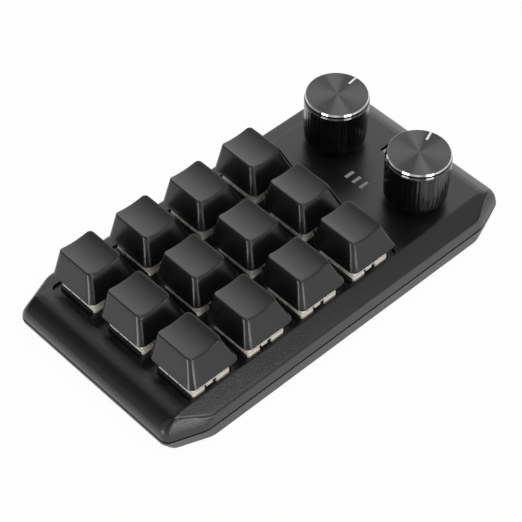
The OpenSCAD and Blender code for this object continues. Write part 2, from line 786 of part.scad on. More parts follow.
// Encoder: plastic base, metal frame with the bushing, plunger and shaft
module encoder_bases() {
    w = encoder_width - 0.4;
    color("#202124") at_knobs() difference() {
        block(w, w, board_top_z, encoder_base_height);
        translate([0, 0, board_top_z + 0.4])
            cylinder(d = plunger_diameter + 4 * clearance, h = encoder_base_height);
    }
}

module encoder_frames() {
    frame_z = board_top_z + encoder_base_height;
    tab = [encoder_tab_thickness, encoder_tab_width];
    tab_z = board_z - 0.6;
    bore = shaft_diameter + 2 * clearance;
    color("#b4b7ba") at_knobs() difference() {
        union() {
            block(encoder_width, encoder_width, frame_z, encoder_z - frame_z);
            translate([0, 0, encoder_z - 0.1]) cylinder(d = bushing_diameter, h = bushing_length + 0.1);
            for (s = [-1, 1]) block(tab.x, tab.y, tab_z, encoder_z - 0.5 - tab_z, s * encoder_tab_x);
        }
        translate([0, 0, frame_z - 1])
            cylinder(d = rotor_diameter + 1, h = encoder_z - encoder_roof - frame_z + 1);
        translate([0, 0, frame_z]) cylinder(d = bore, h = encoder_height + bushing_length);
    }
}

module knob_place(side) {
    translate([knob_x, side * knob_spacing / 2, 0]) children();
}

module plunger(side) {
    color("#d8d8d4") knob_place(side)
        translate([0, 0, plunger_z]) cylinder(d = plunger_diameter, h = rotor_z - plunger_z);
}

// Bar that cuts the flat of a D-shaped shaft or bore of diameter d
module flat_cut(d, z, h) {
    translate([d / 2 - shaft_flat, -d, z]) cube([d, 2 * d, h]);
}

module shaft(side) {
    top = encoder_z + shaft_length;
    flat_z = knob_z + 1;
    color("#c6c8ca") knob_place(side) {
        translate([0, 0, rotor_z]) cylinder(d = rotor_diameter, h = rotor_height);
        difference() {
            translate([0, 0, rotor_z]) cylinder(d = shaft_diameter, h = top - rotor_z);
            flat_cut(shaft_diameter, flat_z, top - flat_z + 1);
        }
    }
}

module knob_insert(side) {
    low = knob_z + insert_lift;
    high = knob_z + knob_height - knob_crown;
    bore = shaft_diameter + 2 * clearance;
    bore_z = encoder_z + shaft_length + 0.3;
    color("#1a1a1c") knob_place(side) difference() {
        translate([0, 0, low]) cylinder(d = knob_hollow - 2 * clearance, h = high - low);
        difference() {
            translate([0, 0, low - 1]) cylinder(d = bore, h = bore_z - low + 1);
            flat_cut(bore, low - 2, bore_z - low + 3);
        }
    }
}

// Knob: turned metal cup, slightly narrower at the foot, with fine flutes, a grooved
// shoulder, a bright ring and a pointer line on the disc
module knob(side) {
    r = knob_diameter / 2;
    foot_r = r - knob_taper / 2;
    groove_r = r - groove_depth;
    ring_r = r - ring_step;
    disc_r = ring_r - ring_bevel;
    ring_z = knob_height - ring_height;
    ring_top = knob_height - ring_bevel * 0.54;
    groove_z = ring_z - ring_groove;
    shoulder_z = groove_z - shoulder_bevel;
    lean = atan((r - foot_r) / (shoulder_z - knob_edge));
    angle = side > 0 ? pointer_angles[1] : pointer_angles[0];
    color("#1c1c1e") knob_place(side) translate([0, 0, knob_z]) difference() {
        rotate_extrude($fn = 96) polygon([
            [0, 0], [foot_r - knob_edge, 0], [foot_r, knob_edge], [r, shoulder_z],
            [groove_r, groove_z], [groove_r, ring_z], [ring_r, ring_z], [ring_r, ring_top],
            [disc_r, knob_height], [0, knob_height]]);
        translate([0, 0, -1]) cylinder(d = knob_hollow, h = knob_height - knob_crown + 1);
        for (i = [0:flute_count - 1]) rotate(360 * i / flute_count)
            translate([foot_r + flute_radius - flute_depth, 0, knob_edge]) rotate([0, lean, 0])
                translate([0, 0, flute_foot - knob_edge])
                    cylinder(r = flute_radius, h = shoulder_z - flute_head - flute_foot, $fn = 16);
        rotate(angle) block(pointer_length, pointer_width, knob_height - pointer_depth, 1,
                            disc_r - pointer_length / 2 + 0.1);
    }
}

// Light guide: three posts behind the windows on one bar under the ceiling
module light_guide() {
    bar = window_pitch * 2 + window_width + 2;
    color("#cfd2d4") {
        block(window_length + 0.8, bar, ceiling_z - 1.6, 1.6, window_x);
        at_windows() block(window_length - 2 * clearance, window_width - 2 * clearance, ceiling_z - eps,
                           top_z - window_sink - ceiling_z + eps);
    }
}

module indicator_leds() {
    color("#f2e9c8") at_windows() block(lamp.x, lamp.y, board_top_z, lamp.z);
}

// Part soldered under the board, at x and y
module underside_part(size, x, y) {
    block(size.x, size.y, board_z - size.z, size.z, x, y);
}

// Controller, crystal, resistors and one diode for each key
module board_components() {
    chip_x = window_x - chip_offset;
    color("#171719") {
        underside_part([chip_size, chip_size, 1], chip_x, 0);
        underside_part(crystal, chip_x, (chip_size + crystal.y) / 2 + crystal_gap);
        for (i = [-2.5:2.5]) underside_part(resistor, window_x + chip_offset, i * resistor_pitch);
        at_keys() underside_part(diode, diode_offset, -diode_offset);
    }
}

// USB-C socket sunk into the board's back edge
module usb_c_receptacle() {
    inner_w = usb_width - 2 * usb_skin;
    inner_h = usb_height - 2 * usb_skin;
    tongue = usb_depth - usb_back - 0.6;
    color("#c2c5c8") {
        translate([usb_x, usb_front, usb_mid_z]) rotate([90, 0, 0]) difference() {
            linear_extrude(usb_depth) rounded_rectangle(usb_width, usb_height, usb_height / 2 - 0.1);
            translate([0, 0, -1]) linear_extrude(usb_depth - usb_back + 1)
                rounded_rectangle(inner_w, inner_h, inner_h / 2 - 0.1);
        }
        block(usb_tongue_width, tongue, usb_mid_z - usb_tongue_thickness / 2, usb_tongue_thickness,
              usb_x, usb_front - 0.8 - tongue / 2);
        for (s = [-1, 1]) for (y = [2, 5.2])
            block(2, 1, board_top_z, 0.3, usb_x + s * (usb_width / 2 + 0.6), usb_front - usb_depth + y);
    }
}

// Slide switch: open-topped body and its slider, at rest at the back end
module mode_switch_body() {
    color("#3a3b3e") difference() {
        block(slot_width, slot_length + 1.2, board_top_z, mode_body_height, slot_x);
        block(2, slot_length + 0.2, board_top_z + 0.9, mode_body_height, slot_x);
    }
}

module mode_switch_slider() {
    y = (slot_length - slider_length) / 2 - slider_end_gap;
    foot_z = board_top_z + 1;
    cap_low = board_top_z + mode_body_height + 0.15;
    color("#b9bbbd") {
        block(1.8, slider_length, foot_z, cap_low - foot_z + eps, slot_x, y);
        block(slot_width - 0.3, slider_length, cap_low, top_z - slider_sink - cap_low, slot_x, y);
    }
}

module case_screws() {
    shank = ceiling_z - 0.9 - screw_seat_z;
    head_z = screw_seat_z - screw_head_height;
    color("#8d9093") at_screws() difference() {
        union() {
            translate([0, 0, head_z]) cylinder(d = screw_head, h = screw_head_height);
            translate([0, 0, screw_seat_z - 0.1]) cylinder(d = screw_diameter, h = shank + 0.1);
        }
        block(2.6, 0.6, head_z - 1, 1.8);
        block(0.6, 2.6, head_z - 1, 1.8);
    }
}

module rubber_feet() {
    color("#2f3033") at_feet() cylinder(d = foot_diameter, h = foot_height + foot_recess);
}

top_shell();
bottom_shell();
main_board();
switch_lower_housings();
switch_upper_housings();
contacts_and_pins();
for (i = [0:len(KEYS) - 1]) {
    keycap(i);
    key_stem(i);
    key_spring(i);
}
encoder_bases();
encoder_frames();
plunger(1);  // back_knob_plunger
shaft(1);  // back_knob_shaft
knob_insert(1);  // back_knob_insert
knob(1);  // back_knob
plunger(-1);  // front_knob_plunger
shaft(-1);  // front_knob_shaft
knob_insert(-1);  // front_knob_insert
knob(-1);  // front_knob
indicator_leds();
light_guide();
board_components();
usb_c_receptacle();
mode_switch_body();
mode_switch_slider();
case_screws();
rubber_feet();
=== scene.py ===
# %% [markdown]
# # A macro keypad with two knobs
#
# The real object is a low black desk case. Twelve mechanical key switches stand in a
# shallow well and carry satin black caps, and two turned metal knobs sit on encoder
# shafts at the right end. The frame holds the measured solids. This notebook dresses
# them: a few pieces are remade with softer edges, and every piece gets its own finish.

# %% Load the frame
import json
import math

import bmesh
import bpy
from mathutils import Matrix, Vector

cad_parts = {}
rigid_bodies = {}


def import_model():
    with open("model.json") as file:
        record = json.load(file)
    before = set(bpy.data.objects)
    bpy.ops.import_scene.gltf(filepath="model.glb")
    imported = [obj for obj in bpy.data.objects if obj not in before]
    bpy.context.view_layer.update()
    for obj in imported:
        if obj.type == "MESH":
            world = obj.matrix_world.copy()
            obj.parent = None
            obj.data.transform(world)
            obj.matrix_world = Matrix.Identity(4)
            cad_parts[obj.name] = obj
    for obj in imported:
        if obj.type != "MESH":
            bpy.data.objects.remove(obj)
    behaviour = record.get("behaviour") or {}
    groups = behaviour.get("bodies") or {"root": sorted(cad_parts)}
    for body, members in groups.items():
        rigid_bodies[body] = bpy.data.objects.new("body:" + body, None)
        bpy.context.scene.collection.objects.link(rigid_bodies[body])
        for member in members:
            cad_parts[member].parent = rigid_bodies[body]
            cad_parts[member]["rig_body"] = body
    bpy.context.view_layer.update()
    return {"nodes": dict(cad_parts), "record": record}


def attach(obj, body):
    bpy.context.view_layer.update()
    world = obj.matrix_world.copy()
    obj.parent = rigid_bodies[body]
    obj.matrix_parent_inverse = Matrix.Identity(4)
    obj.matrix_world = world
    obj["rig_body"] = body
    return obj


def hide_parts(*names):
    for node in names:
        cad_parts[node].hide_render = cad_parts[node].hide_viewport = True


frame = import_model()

MM = 0.001
nodes = frame["nodes"]

# %% [markdown]
# ## The camera
#
# A long lens looks down on the keypad from its front left corner. The three directions
# are the camera's right, up and backward, so their matrix is the camera's turn.

# %% Camera
RIGHT = Vector((0.7248761, -0.6887535, 0.0131669))
UP = Vector((0.5043213, 0.5435974, 0.6709411))
BACK = Vector((-0.4692705, -0.4797088, 0.7413938))
STAND = Vector((-0.2742704, -0.2783096, 0.4356783))
SENSOR, LENS = 36.0, 134.49
CLIP = (0.01, 20)


def put(name, data):
    """A new object with the given data, linked into the scene."""
    made = bpy.data.objects.new(name, data)
    bpy.context.scene.collection.objects.link(made)
    return made


camera_data = bpy.data.cameras.new("camera")
camera_data.sensor_width = SENSOR
camera_data.lens = LENS
camera_data.clip_start, camera_data.clip_end = CLIP
camera = put("camera", camera_data)
turned = Matrix((RIGHT, UP, BACK)).transposed().to_4x4()
camera.matrix_world = Matrix.Translation(STAND) @ turned
bpy.context.scene.camera = camera
print("camera", LENS, "mm")

# %% [markdown]
# ## Shader groups
#
# An effect that several finishes share is a node group with named sockets, built once.
# Each material sets the group's values and feeds its results to its own shader. Moulded
# plastic has a fine spark-eroded grain and faint cloudiness; handling leaves soft
# smudges; turned metal has rings round the axis of the lathe.

# %% Helpers for node trees
SOCKETS = {"value": "NodeSocketFloat", "colour": "NodeSocketColor", "vector": "NodeSocketVector"}


def feed(tree, socket, value):
    """Sets a socket to a plain value, or links it to another socket."""
    if isinstance(value, bpy.types.NodeSocket):
        tree.links.new(value, socket)
    else:
        socket.default_value = value


def add(tree, kind, *first, **values):
    """Adds a node. Named values go to its properties or sockets, the rest to its first sockets."""
    node = tree.nodes.new(kind)
    for key, value in values.items():
        if hasattr(node, key):
            setattr(node, key, value)
        else:
            feed(tree, node.inputs[key.replace("_", " ")], value)
    for socket, value in zip(node.inputs, first):
        feed(tree, socket, value)
    return node


def maths(tree, operation, a, b=0.0, c=0.0):
    """A Math node's result. a, b and c are numbers or sockets."""
    return add(tree, "ShaderNodeMath", a, b, c, operation=operation).outputs[0]


def noise(tree, vector, scale, detail, roughness):
    """A noise texture's value, from 0 to 1, on the given vector."""
    return add(tree, "ShaderNodeTexNoise", Vector=vector, Scale=scale, Detail=detail,
               Roughness=roughness).outputs["Fac"]


def swing(tree, value, amount, base):
    """A value from 0 to 1, made to swing by an amount about a base."""
    return maths(tree, "MULTIPLY_ADD", maths(tree, "SUBTRACT", value, 0.5), amount, base)


def ramp(tree, value, start, end, strength):
    """Smooth rise of a value from nothing at start to strength at end."""
    return add(tree, "ShaderNodeMapRange", interpolation_type="SMOOTHSTEP", Value=value,
               From_Min=start, From_Max=end, To_Min=0.0, To_Max=strength).outputs["Result"]


print("node helpers ready")

# %% Helpers for directions
def cosine(degrees):
    return math.cos(math.radians(degrees))


def heading(degrees, climb=0):
    """Unit vector at an angle from +X, seen from above, and at a climb, both in degrees."""
    turn, climb = math.radians(degrees), math.radians(climb)
    return (math.cos(climb) * math.cos(turn), math.cos(climb) * math.sin(turn), math.sin(climb))


def facing(tree, vector, direction):
    """Cosine of the angle between a unit vector and a direction."""
    node = add(tree, "ShaderNodeVectorMath", vector, direction, operation="DOT_PRODUCT")
    return node.outputs["Value"]


def flattened(tree, vector):
    """The vector without its height."""
    return add(tree, "ShaderNodeVectorMath", vector, (1, 1, 0), operation="MULTIPLY").outputs[0]


def length(tree, vector):
    return add(tree, "ShaderNodeVectorMath", vector, operation="LENGTH").outputs["Value"]


print("direction helpers ready")

# %% Moulded plastic
CLOUD_SCALE, SMUDGE_SCALE = 45.0, 120.0
SPECKLE = 0.35


def start_group(name, takes, gives):
    """New shader node group with the sockets named in takes and gives."""
    tree = bpy.data.node_groups.new(name, "ShaderNodeTree")
    for label, kind in takes:
        tree.interface.new_socket(name=label, in_out="INPUT", socket_type=SOCKETS[kind])
    for label, kind in gives:
        tree.interface.new_socket(name=label, in_out="OUTPUT", socket_type=SOCKETS[kind])
    takes = tree.nodes.new("NodeGroupInput").outputs
    return tree, takes, tree.nodes.new("NodeGroupOutput").inputs


mould, takes, gives = start_group(
    "moulded_surface",
    [("Vector", "vector"), ("Colour", "colour"), ("Roughness", "value"),
     ("Grain Scale", "value"), ("Clouds", "value"), ("Smudge", "value")],
    [("Colour", "colour"), ("Roughness", "value"), ("Height", "value")])
grain = noise(mould, takes["Vector"], takes["Grain Scale"], detail=3.0, roughness=0.6)
clouds = noise(mould, takes["Vector"], CLOUD_SCALE, detail=3.0, roughness=0.55)
smudge = noise(mould, takes["Vector"], SMUDGE_SCALE, detail=4.0, roughness=0.6)
gain = swing(mould, grain, SPECKLE, swing(mould, clouds, takes["Clouds"], 1.0))
tint = add(mould, "ShaderNodeVectorMath", takes["Colour"], operation="SCALE", Scale=gain)
feed(mould, gives["Colour"], tint.outputs[0])
feed(mould, gives["Roughness"], swing(mould, smudge, takes["Smudge"], takes["Roughness"]))
feed(mould, gives["Height"], grain)
print("group", mould.name)

# %% Lathe-turned rings
RING_PITCH, STREAK_SCALE = 0.00028, 5200.0

rings, takes, gives = start_group(
    "turned_rings", [("Vector", "vector"), ("Pitch", "value")],
    [("Height", "value"), ("Streak", "value"), ("Radius", "value")])
reach = length(rings, flattened(rings, takes["Vector"]))
turns = maths(rings, "DIVIDE", reach, takes["Pitch"])
wave = maths(rings, "SINE", maths(rings, "MULTIPLY", turns, 2 * math.pi))
along = add(rings, "ShaderNodeCombineXYZ", X=reach).outputs[0]
streak = noise(rings, along, STREAK_SCALE, detail=4.0, roughness=0.7)
for label, value in (("Height", wave), ("Streak", streak), ("Radius", reach)):
    feed(rings, gives[label], value)
print("group", rings.name)

# %% [markdown]
# ## Finishes
#
# Each finish is named for what it is on the keypad. The case and the caps share one black
# and differ in their grain, which is coarse and deep on the case and fine on the satin
# caps. Lengths and depths are in metres, and a grain scale is in waves per metre.

# %% Material helpers
FINISH = {}


def start_material(name):
    """Adds a material to the finishes and returns its tree, shader and Object coordinates."""
    material = bpy.data.materials.new(name)
    material.use_nodes = True
    FINISH[name] = material
    tree = material.node_tree
    place = tree.nodes.new("ShaderNodeTexCoord").outputs["Object"]
    return tree, tree.nodes["Principled BSDF"], place


def bump(tree, shader, height, depth):
    """Feeds a height to the shader's normal; depth is in metres."""
    node = add(tree, "ShaderNodeBump", Height=height, Strength=1.0, Distance=depth)
    feed(tree, shader.inputs["Normal"], node.outputs[0])


def plastic(name, colour, roughness, grain, depth, clouds, smudge, specular, metallic):
    """Moulded or coated surface with grain, cloudiness and smudges."""
    tree, shader, place = start_material(name)
    group = add(tree, "ShaderNodeGroup", node_tree=mould, Vector=place, Colour=(*colour, 1),
                Roughness=roughness, Grain_Scale=grain, Clouds=clouds, Smudge=smudge).outputs
    feed(tree, shader.inputs["Base Color"], group["Colour"])
    feed(tree, shader.inputs["Roughness"], group["Roughness"])
    shader.inputs["Specular IOR Level"].default_value = specular
    shader.inputs["Metallic"].default_value = metallic
    bump(tree, shader, group["Height"], depth)


print("material helpers ready")

# %% Plain finishes
BLACK = (0.004, 0.004, 0.0041)
PLAIN = [
    # name, colour, roughness, grain scale, grain depth, clouds, smudge, specular, metallic
    ("case_black", BLACK, 0.29, 2200, 0.000055, 0.15, 0.08, 0.75, 0.0),
    ("keycap_black", BLACK, 0.26, 3800, 0.00001, 0.08, 0.05, 0.7, 0.0),
    ("switch_cream", (0.90, 0.85, 0.79), 0.42, 2500, 0.000012, 0.08, 0.05, 0.5, 0.0),
    ("switch_black", (0.012, 0.012, 0.013), 0.45, 2500, 0.00001, 0.1, 0.06, 0.5, 0.0),
    ("stem_brown", (0.12, 0.05, 0.022), 0.42, 2500, 0.00001, 0.1, 0.06, 0.5, 0.0),
    ("spring_steel", (0.56, 0.57, 0.58), 0.25, 4000, 0.000004, 0.05, 0.1, 0.5, 1.0),
    ("contact_metal", (0.75, 0.56, 0.30), 0.28, 4000, 0.000004, 0.1, 0.1, 0.5, 1.0),
    ("board_green", (0.012, 0.07, 0.03), 0.35, 900, 0.00001, 0.4, 0.05, 0.5, 0.0),
    ("chip_black", (0.015, 0.015, 0.016), 0.55, 3000, 0.00001, 0.1, 0.06, 0.5, 0.0),
    ("insert_black", (0.014, 0.014, 0.015), 0.45, 2500, 0.00001, 0.1, 0.06, 0.5, 0.0),
    ("encoder_metal", (0.60, 0.61, 0.62), 0.32, 2500, 0.000008, 0.1, 0.12, 0.5, 1.0),
    ("window_grey", (0.34, 0.345, 0.35), 0.38, 2500, 0.00001, 0.06, 0.05, 0.5, 0.0),
    ("lamp_white", (0.78, 0.76, 0.66), 0.35, 2500, 0.00001, 0.1, 0.06, 0.5, 0.0),
    ("slider_grey", (0.46, 0.46, 0.46), 0.42, 2800, 0.000014, 0.08, 0.05, 0.5, 0.0),
    ("socket_steel", (0.58, 0.59, 0.60), 0.26, 3500, 0.000006, 0.08, 0.12, 0.5, 1.0),
    ("screw_steel", (0.42, 0.43, 0.44), 0.34, 3000, 0.00001, 0.15, 0.15, 0.5, 1.0),
    ("foot_rubber", (0.022, 0.022, 0.023), 0.75, 1800, 0.00004, 0.2, 0.08, 0.5, 0.0),
]

for row in PLAIN:
    plastic(*row)
print("plain finishes:", len(FINISH))

# %% [markdown]
# ## The knobs' finish
#
# The knob is turned from aluminium and anodised black. Its disc is faced on the lathe,
# and a fan of pale and dark wedges is painted into its grey as painted highlight and
# shade; a diamond-cut ring shows bright metal; and a white line is filled into the disc.
# Below the ring run a groove, whose black is painted darker as painted shade, and a
# polished shoulder, whose black is painted paler so that the real lamp dashes on it show
# brighter, a painted highlight. The fluted body carries upright streaks painted lighter,
# which are painted reflections of the surroundings in the flutes. One material per knob
# keeps its own centre and pointer angle: masks made from the height, the distance from
# the axis and the place along the pointer choose between the parts.

# %% Masks of a knob's parts
KNOB_X, KNOB_Y, KNOB_FOOT = 45.65, 17.1, 15.4
SHOULDER, GROOVE = (14.12, 14.66), (14.66, 15.40)
RING_INNER, RING_LOW = 9.47, 15.37
DISC_LOW, POINTER_LOW, POINTER_WIDTH = 15.9, 15.5, 0.7


def above(tree, value, limit):
    """1 where a value in metres is above a limit in millimetres."""
    return maths(tree, "GREATER_THAN", value, limit * MM)


def between(tree, value, low, high):
    """1 where a value in metres is between two limits in millimetres."""
    below = maths(tree, "LESS_THAN", value, high * MM)
    return maths(tree, "MULTIPLY", above(tree, value, low), below)


def knob_masks(tree, local, radius, near, far):
    """Masks of the parts; the pointer runs along X, from near to far of the axis."""
    x, y, z = add(tree, "ShaderNodeSeparateXYZ", local).outputs
    thin = maths(tree, "LESS_THAN", maths(tree, "ABSOLUTE", y), POINTER_WIDTH / 2 * MM)
    line = maths(tree, "MULTIPLY", between(tree, x, near, far), thin)
    return {
        "shoulder": between(tree, z, *SHOULDER),
        "groove": between(tree, z, *GROOVE),
        "disc": above(tree, z, DISC_LOW),
        "ring": maths(tree, "MULTIPLY", above(tree, radius, RING_INNER), above(tree, z, RING_LOW)),
        "pointer": maths(tree, "MULTIPLY", line, above(tree, z, POINTER_LOW)),
    }


print("knob parts: shoulder, groove, disc, ring, pointer")

# %% Colours of a knob's parts
# The groove's black is painted darker than the body's, as painted shade in the recess.
KNOB_BLACK, SHOULDER_PAINTED_HIGHLIGHT, GROOVE_PAINTED_SHADE, DEEPEST_BLACK = 0.038, 0.1, 0.008, 0.01
DISC_GREY, RING_BRIGHT, POINTER_WHITE, COOL = 0.098, 0.62, 0.86, 1.01
# Upright streaks painted lighter on the body: painted reflections of the surroundings in the
# flutes.
PAINTED_STREAK_SCALE, PAINTED_STREAK_GAIN = 15.0, 5.0
# Painted highlight and shade on the disc: pale and dark wedges, as heading in degrees and gain.
PAINTED_FAN = [(50, 0.36), (14, -0.32), (76, -0.14)]
PAINTED_FAN_CORE, PAINTED_FAN_EDGE = 3, 24


def painted_light_fan(tree, outward):
    """Gain of the disc in painted highlight and shade: pale and dark wedges, each on both sides of
    the axis.
    """
    fan = 1.0
    for towards, gain in PAINTED_FAN:
        across = maths(tree, "ABSOLUTE", facing(tree, outward, heading(towards)))
        wedge = ramp(tree, across, cosine(PAINTED_FAN_EDGE), cosine(PAINTED_FAN_CORE), gain)
        fan = maths(tree, "ADD", fan, wedge)
    return fan


def layer(tree, below, mask, grey):
    """Lays a grey, a number or a socket, over what is below it where the mask is 1."""
    mix = add(tree, "ShaderNodeMix", data_type="RGBA", Factor=mask, A=below)
    if not isinstance(grey, bpy.types.NodeSocket):
        grey = (grey, grey, grey * COOL, 1)
    feed(tree, mix.inputs["B"], grey)
    return mix.outputs["Result"]


def knob_colour(tree, mask, spoke, outward):
    """Painted reflection streaks on the body, the painted fan on the disc, and greys elsewhere,
    with painted shade in the groove and a painted highlight on the shoulder.
    """
    # Painted reflections: the body's black swings lighter in upright streaks round the axis.
    painted_streaks = noise(tree, spoke, PAINTED_STREAK_SCALE, detail=3.0, roughness=0.75)
    body = swing(tree, painted_streaks, PAINTED_STREAK_GAIN * KNOB_BLACK, KNOB_BLACK)
    shade = maths(tree, "MAXIMUM", body, DEEPEST_BLACK)
    # The disc's grey carries the painted fan of highlight and shade.
    disc = maths(tree, "MULTIPLY", painted_light_fan(tree, outward), DISC_GREY)
    # The shoulder's paler black is a painted highlight over the real lamp dashes, and the groove's
    # darker black is painted shade.
    for part, grey in (("shoulder", SHOULDER_PAINTED_HIGHLIGHT), ("groove", GROOVE_PAINTED_SHADE), ("disc", disc),
                       ("ring", RING_BRIGHT), ("pointer", POINTER_WHITE)):
        shade = layer(tree, shade, mask[part], grey)
    return shade


print("wedges of the fan:", len(PAINTED_FAN))

# %% Knob finish
POINTER = {"front": (21.4, 5.85, 9.4), "back": (7.7, 6.0, 9.4)}
POLISH, POLISH_STREAK, FACED_DISC, PAINTED_LINE = 0.07, 0.08, 0.24, 0.1
LATHE_DEPTH = 0.000003
GLOSS = {"Anisotropic": 0.92, "Coat Weight": 0.25, "Coat Roughness": 0.6}


def knob_finish(side, y):
    """Anodised knob with a bright ring and a white pointer line at its own angle."""
    tree, shader, place = start_material("knob_black_" + side)
    angle, near, far = POINTER[side]
    angle = math.radians(angle)
    centre = (KNOB_X * MM, y * MM, KNOB_FOOT * MM)
    local = add(tree, "ShaderNodeMapping", vector_type="TEXTURE", Vector=place, Location=centre,
                Rotation=(0, 0, angle)).outputs[0]
    lathe = add(tree, "ShaderNodeGroup", node_tree=rings, Vector=local, Pitch=RING_PITCH).outputs
    mask = knob_masks(tree, local, lathe["Radius"], near, far)

    # The spoke points out from the axis and turns with the pointer; outward is the same
    # direction turned back to the frame's own.
    spoke = add(tree, "ShaderNodeVectorMath", flattened(tree, local),
                operation="NORMALIZE").outputs[0]
    outward = add(tree, "ShaderNodeVectorRotate", rotation_type="Z_AXIS", Vector=spoke,
                  Angle=angle).outputs[0]
    feed(tree, shader.inputs["Tangent"], outward)
    feed(tree, shader.inputs["Base Color"], knob_colour(tree, mask, spoke, outward))

    bare = maths(tree, "SUBTRACT", 1.0, mask["pointer"])
    faced = maths(tree, "SUBTRACT", mask["disc"], mask["ring"])
    feed(tree, shader.inputs["Metallic"], bare)
    rough = maths(tree, "MULTIPLY_ADD", lathe["Streak"], POLISH_STREAK, POLISH)
    rough = maths(tree, "MULTIPLY_ADD", faced, FACED_DISC, rough)
    rough = maths(tree, "MULTIPLY_ADD", mask["pointer"], PAINTED_LINE, rough)
    feed(tree, shader.inputs["Roughness"], rough)
    grooves = maths(tree, "MULTIPLY", lathe["Height"], faced)
    bump(tree, shader, maths(tree, "MULTIPLY", grooves, bare), LATHE_DEPTH)
    for label, amount in GLOSS.items():
        shader.inputs[label].default_value = amount


knob_finish("front", -KNOB_Y)
knob_finish("back", KNOB_Y)
print("finishes:", len(FINISH))

# %% [markdown]
# ## Mesh helpers
#
# Pieces are built in millimetres with bmesh operators and scaled once at the end, so each
# object stays at the origin with its place in its mesh. A loft is a closed outline that
# is extruded again and again, each new loop being moved to its own outline and height.

# %% A finished piece
SHARP_ANGLE = 32
FLAT_WEIGHT = 100


def new_piece(name, bm, body, slot, stands_for, finish=None, sharp=SHARP_ANGLE, flat=False):
    """Turns a bmesh in millimetres into a piece that rides on a body and replaces a CAD node."""
    bmesh.ops.scale(bm, vec=(MM, MM, MM), verts=bm.verts)
    mesh = bpy.data.meshes.new(name)
    bm.to_mesh(mesh)
    bm.free()
    mesh.polygons.foreach_set("use_smooth", [True] * len(mesh.polygons))
    mesh.set_sharp_from_angle(angle=math.radians(sharp))
    mesh.materials.append(FINISH[finish or slot])
    piece = put(name, mesh)
    if flat:
        weigh = piece.modifiers.new("flat faces", "WEIGHTED_NORMAL")
        weigh.keep_sharp = True
        weigh.weight = FLAT_WEIGHT
    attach(piece, body)
    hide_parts(stands_for)
    print(name, len(mesh.polygons), "faces")


print("a crease sharper than", SHARP_ANGLE, "degrees stays sharp")

# %% Loft and cut
def loft(bm, loops):
    """Extrudes the first loop of points through the others and closes both ends."""
    count = len(loops[0])
    verts = [bm.verts.new(p) for p in loops[0]]
    edges = [bm.edges.new((verts[i], verts[(i + 1) % count])) for i in range(count)]
    bmesh.ops.edgeloop_fill(bm, edges=edges)
    for loop in loops[1:]:
        order = {tuple(v.co): i for i, v in enumerate(verts)}
        made = bmesh.ops.extrude_edge_only(bm, edges=edges)["geom"]
        edges = [g for g in made if isinstance(g, bmesh.types.BMEdge)]
        verts = [g for g in made if isinstance(g, bmesh.types.BMVert)]
        verts.sort(key=lambda v: order[tuple(v.co)])
        for vert, point in zip(verts, loop):
            vert.co = point
    bmesh.ops.edgeloop_fill(bm, edges=edges)


def carved(bm, cutter):
    """The first bmesh with the second one cut out of it."""
    made = []
    for part in (bm, cutter):
        bmesh.ops.recalc_face_normals(part, faces=part.faces)
        mesh = bpy.data.meshes.new("scratch")
        part.to_mesh(mesh)
        part.free()
        made.append(put("scratch", mesh))
    cut = made[0].modifiers.new("cut", "BOOLEAN")
    cut.operation = "DIFFERENCE"
    cut.solver = "EXACT"
    cut.object = made[1]
    result = bmesh.new()
    result.from_object(made[0], bpy.context.evaluated_depsgraph_get())
    for thing in made:
        mesh = thing.data
        bpy.data.objects.remove(thing)
        bpy.data.meshes.remove(mesh)
    return result


print("loft and cut ready")

# %% Simple shapes and edges
def block(bm, low, high):
    """A box from its low corner to its high corner."""
    low, high = Vector(low), Vector(high)
    made = bmesh.ops.create_cube(bm, size=1)["verts"]
    bmesh.ops.scale(bm, vec=high - low, verts=made)
    bmesh.ops.translate(bm, vec=(high + low) / 2, verts=made)


def drum(bm, x, y, low, high, radius, segments=48):
    """An upright cylinder."""
    bmesh.ops.create_cone(
        bm, cap_ends=True, segments=segments, radius1=radius, radius2=radius, depth=high - low,
        matrix=Matrix.Translation((x, y, (low + high) / 2)))


def turn_points(x, y, radius, start, steps, sweep=90):
    """Points of an arc about (x, y) that starts at an angle and sweeps on, in degrees."""
    angles = [math.radians(start + sweep * i / steps) for i in range(steps + 1)]
    return [(x + radius * math.cos(a), y + radius * math.sin(a)) for a in angles]


def sharp_edges(bm, angle, keep):
    """Edges that turn by more than the angle, in degrees, and whose middle passes keep."""
    return [e for e in bm.edges if len(e.link_faces) == 2
            and e.calc_face_angle(0) > math.radians(angle)
            and keep((e.verts[0].co + e.verts[1].co) / 2)]


def soften(bm, edges, width, segments):
    """Rounds edges over."""
    bmesh.ops.bevel(bm, geom=edges, offset=width, offset_type="OFFSET", segments=segments,
                    profile=0.5, affect="EDGES", material=-1, clamp_overlap=True)


print("shape helpers ready")

# %% [markdown]
# ## The case
#
# The case is two moulded shells that meet at a thin dark seam. Both follow one outline,
# which changes with height: the long sides lean in up to a crease and then turn into a
# gentle bevel, the ends curve over like a quarter of an ellipse, and each corner is cut.
# The same formulas as in the solid are used, but the crease and the corners are eased,
# and the rims at the seam and around the top are rounded over, which is what catches
# the light.

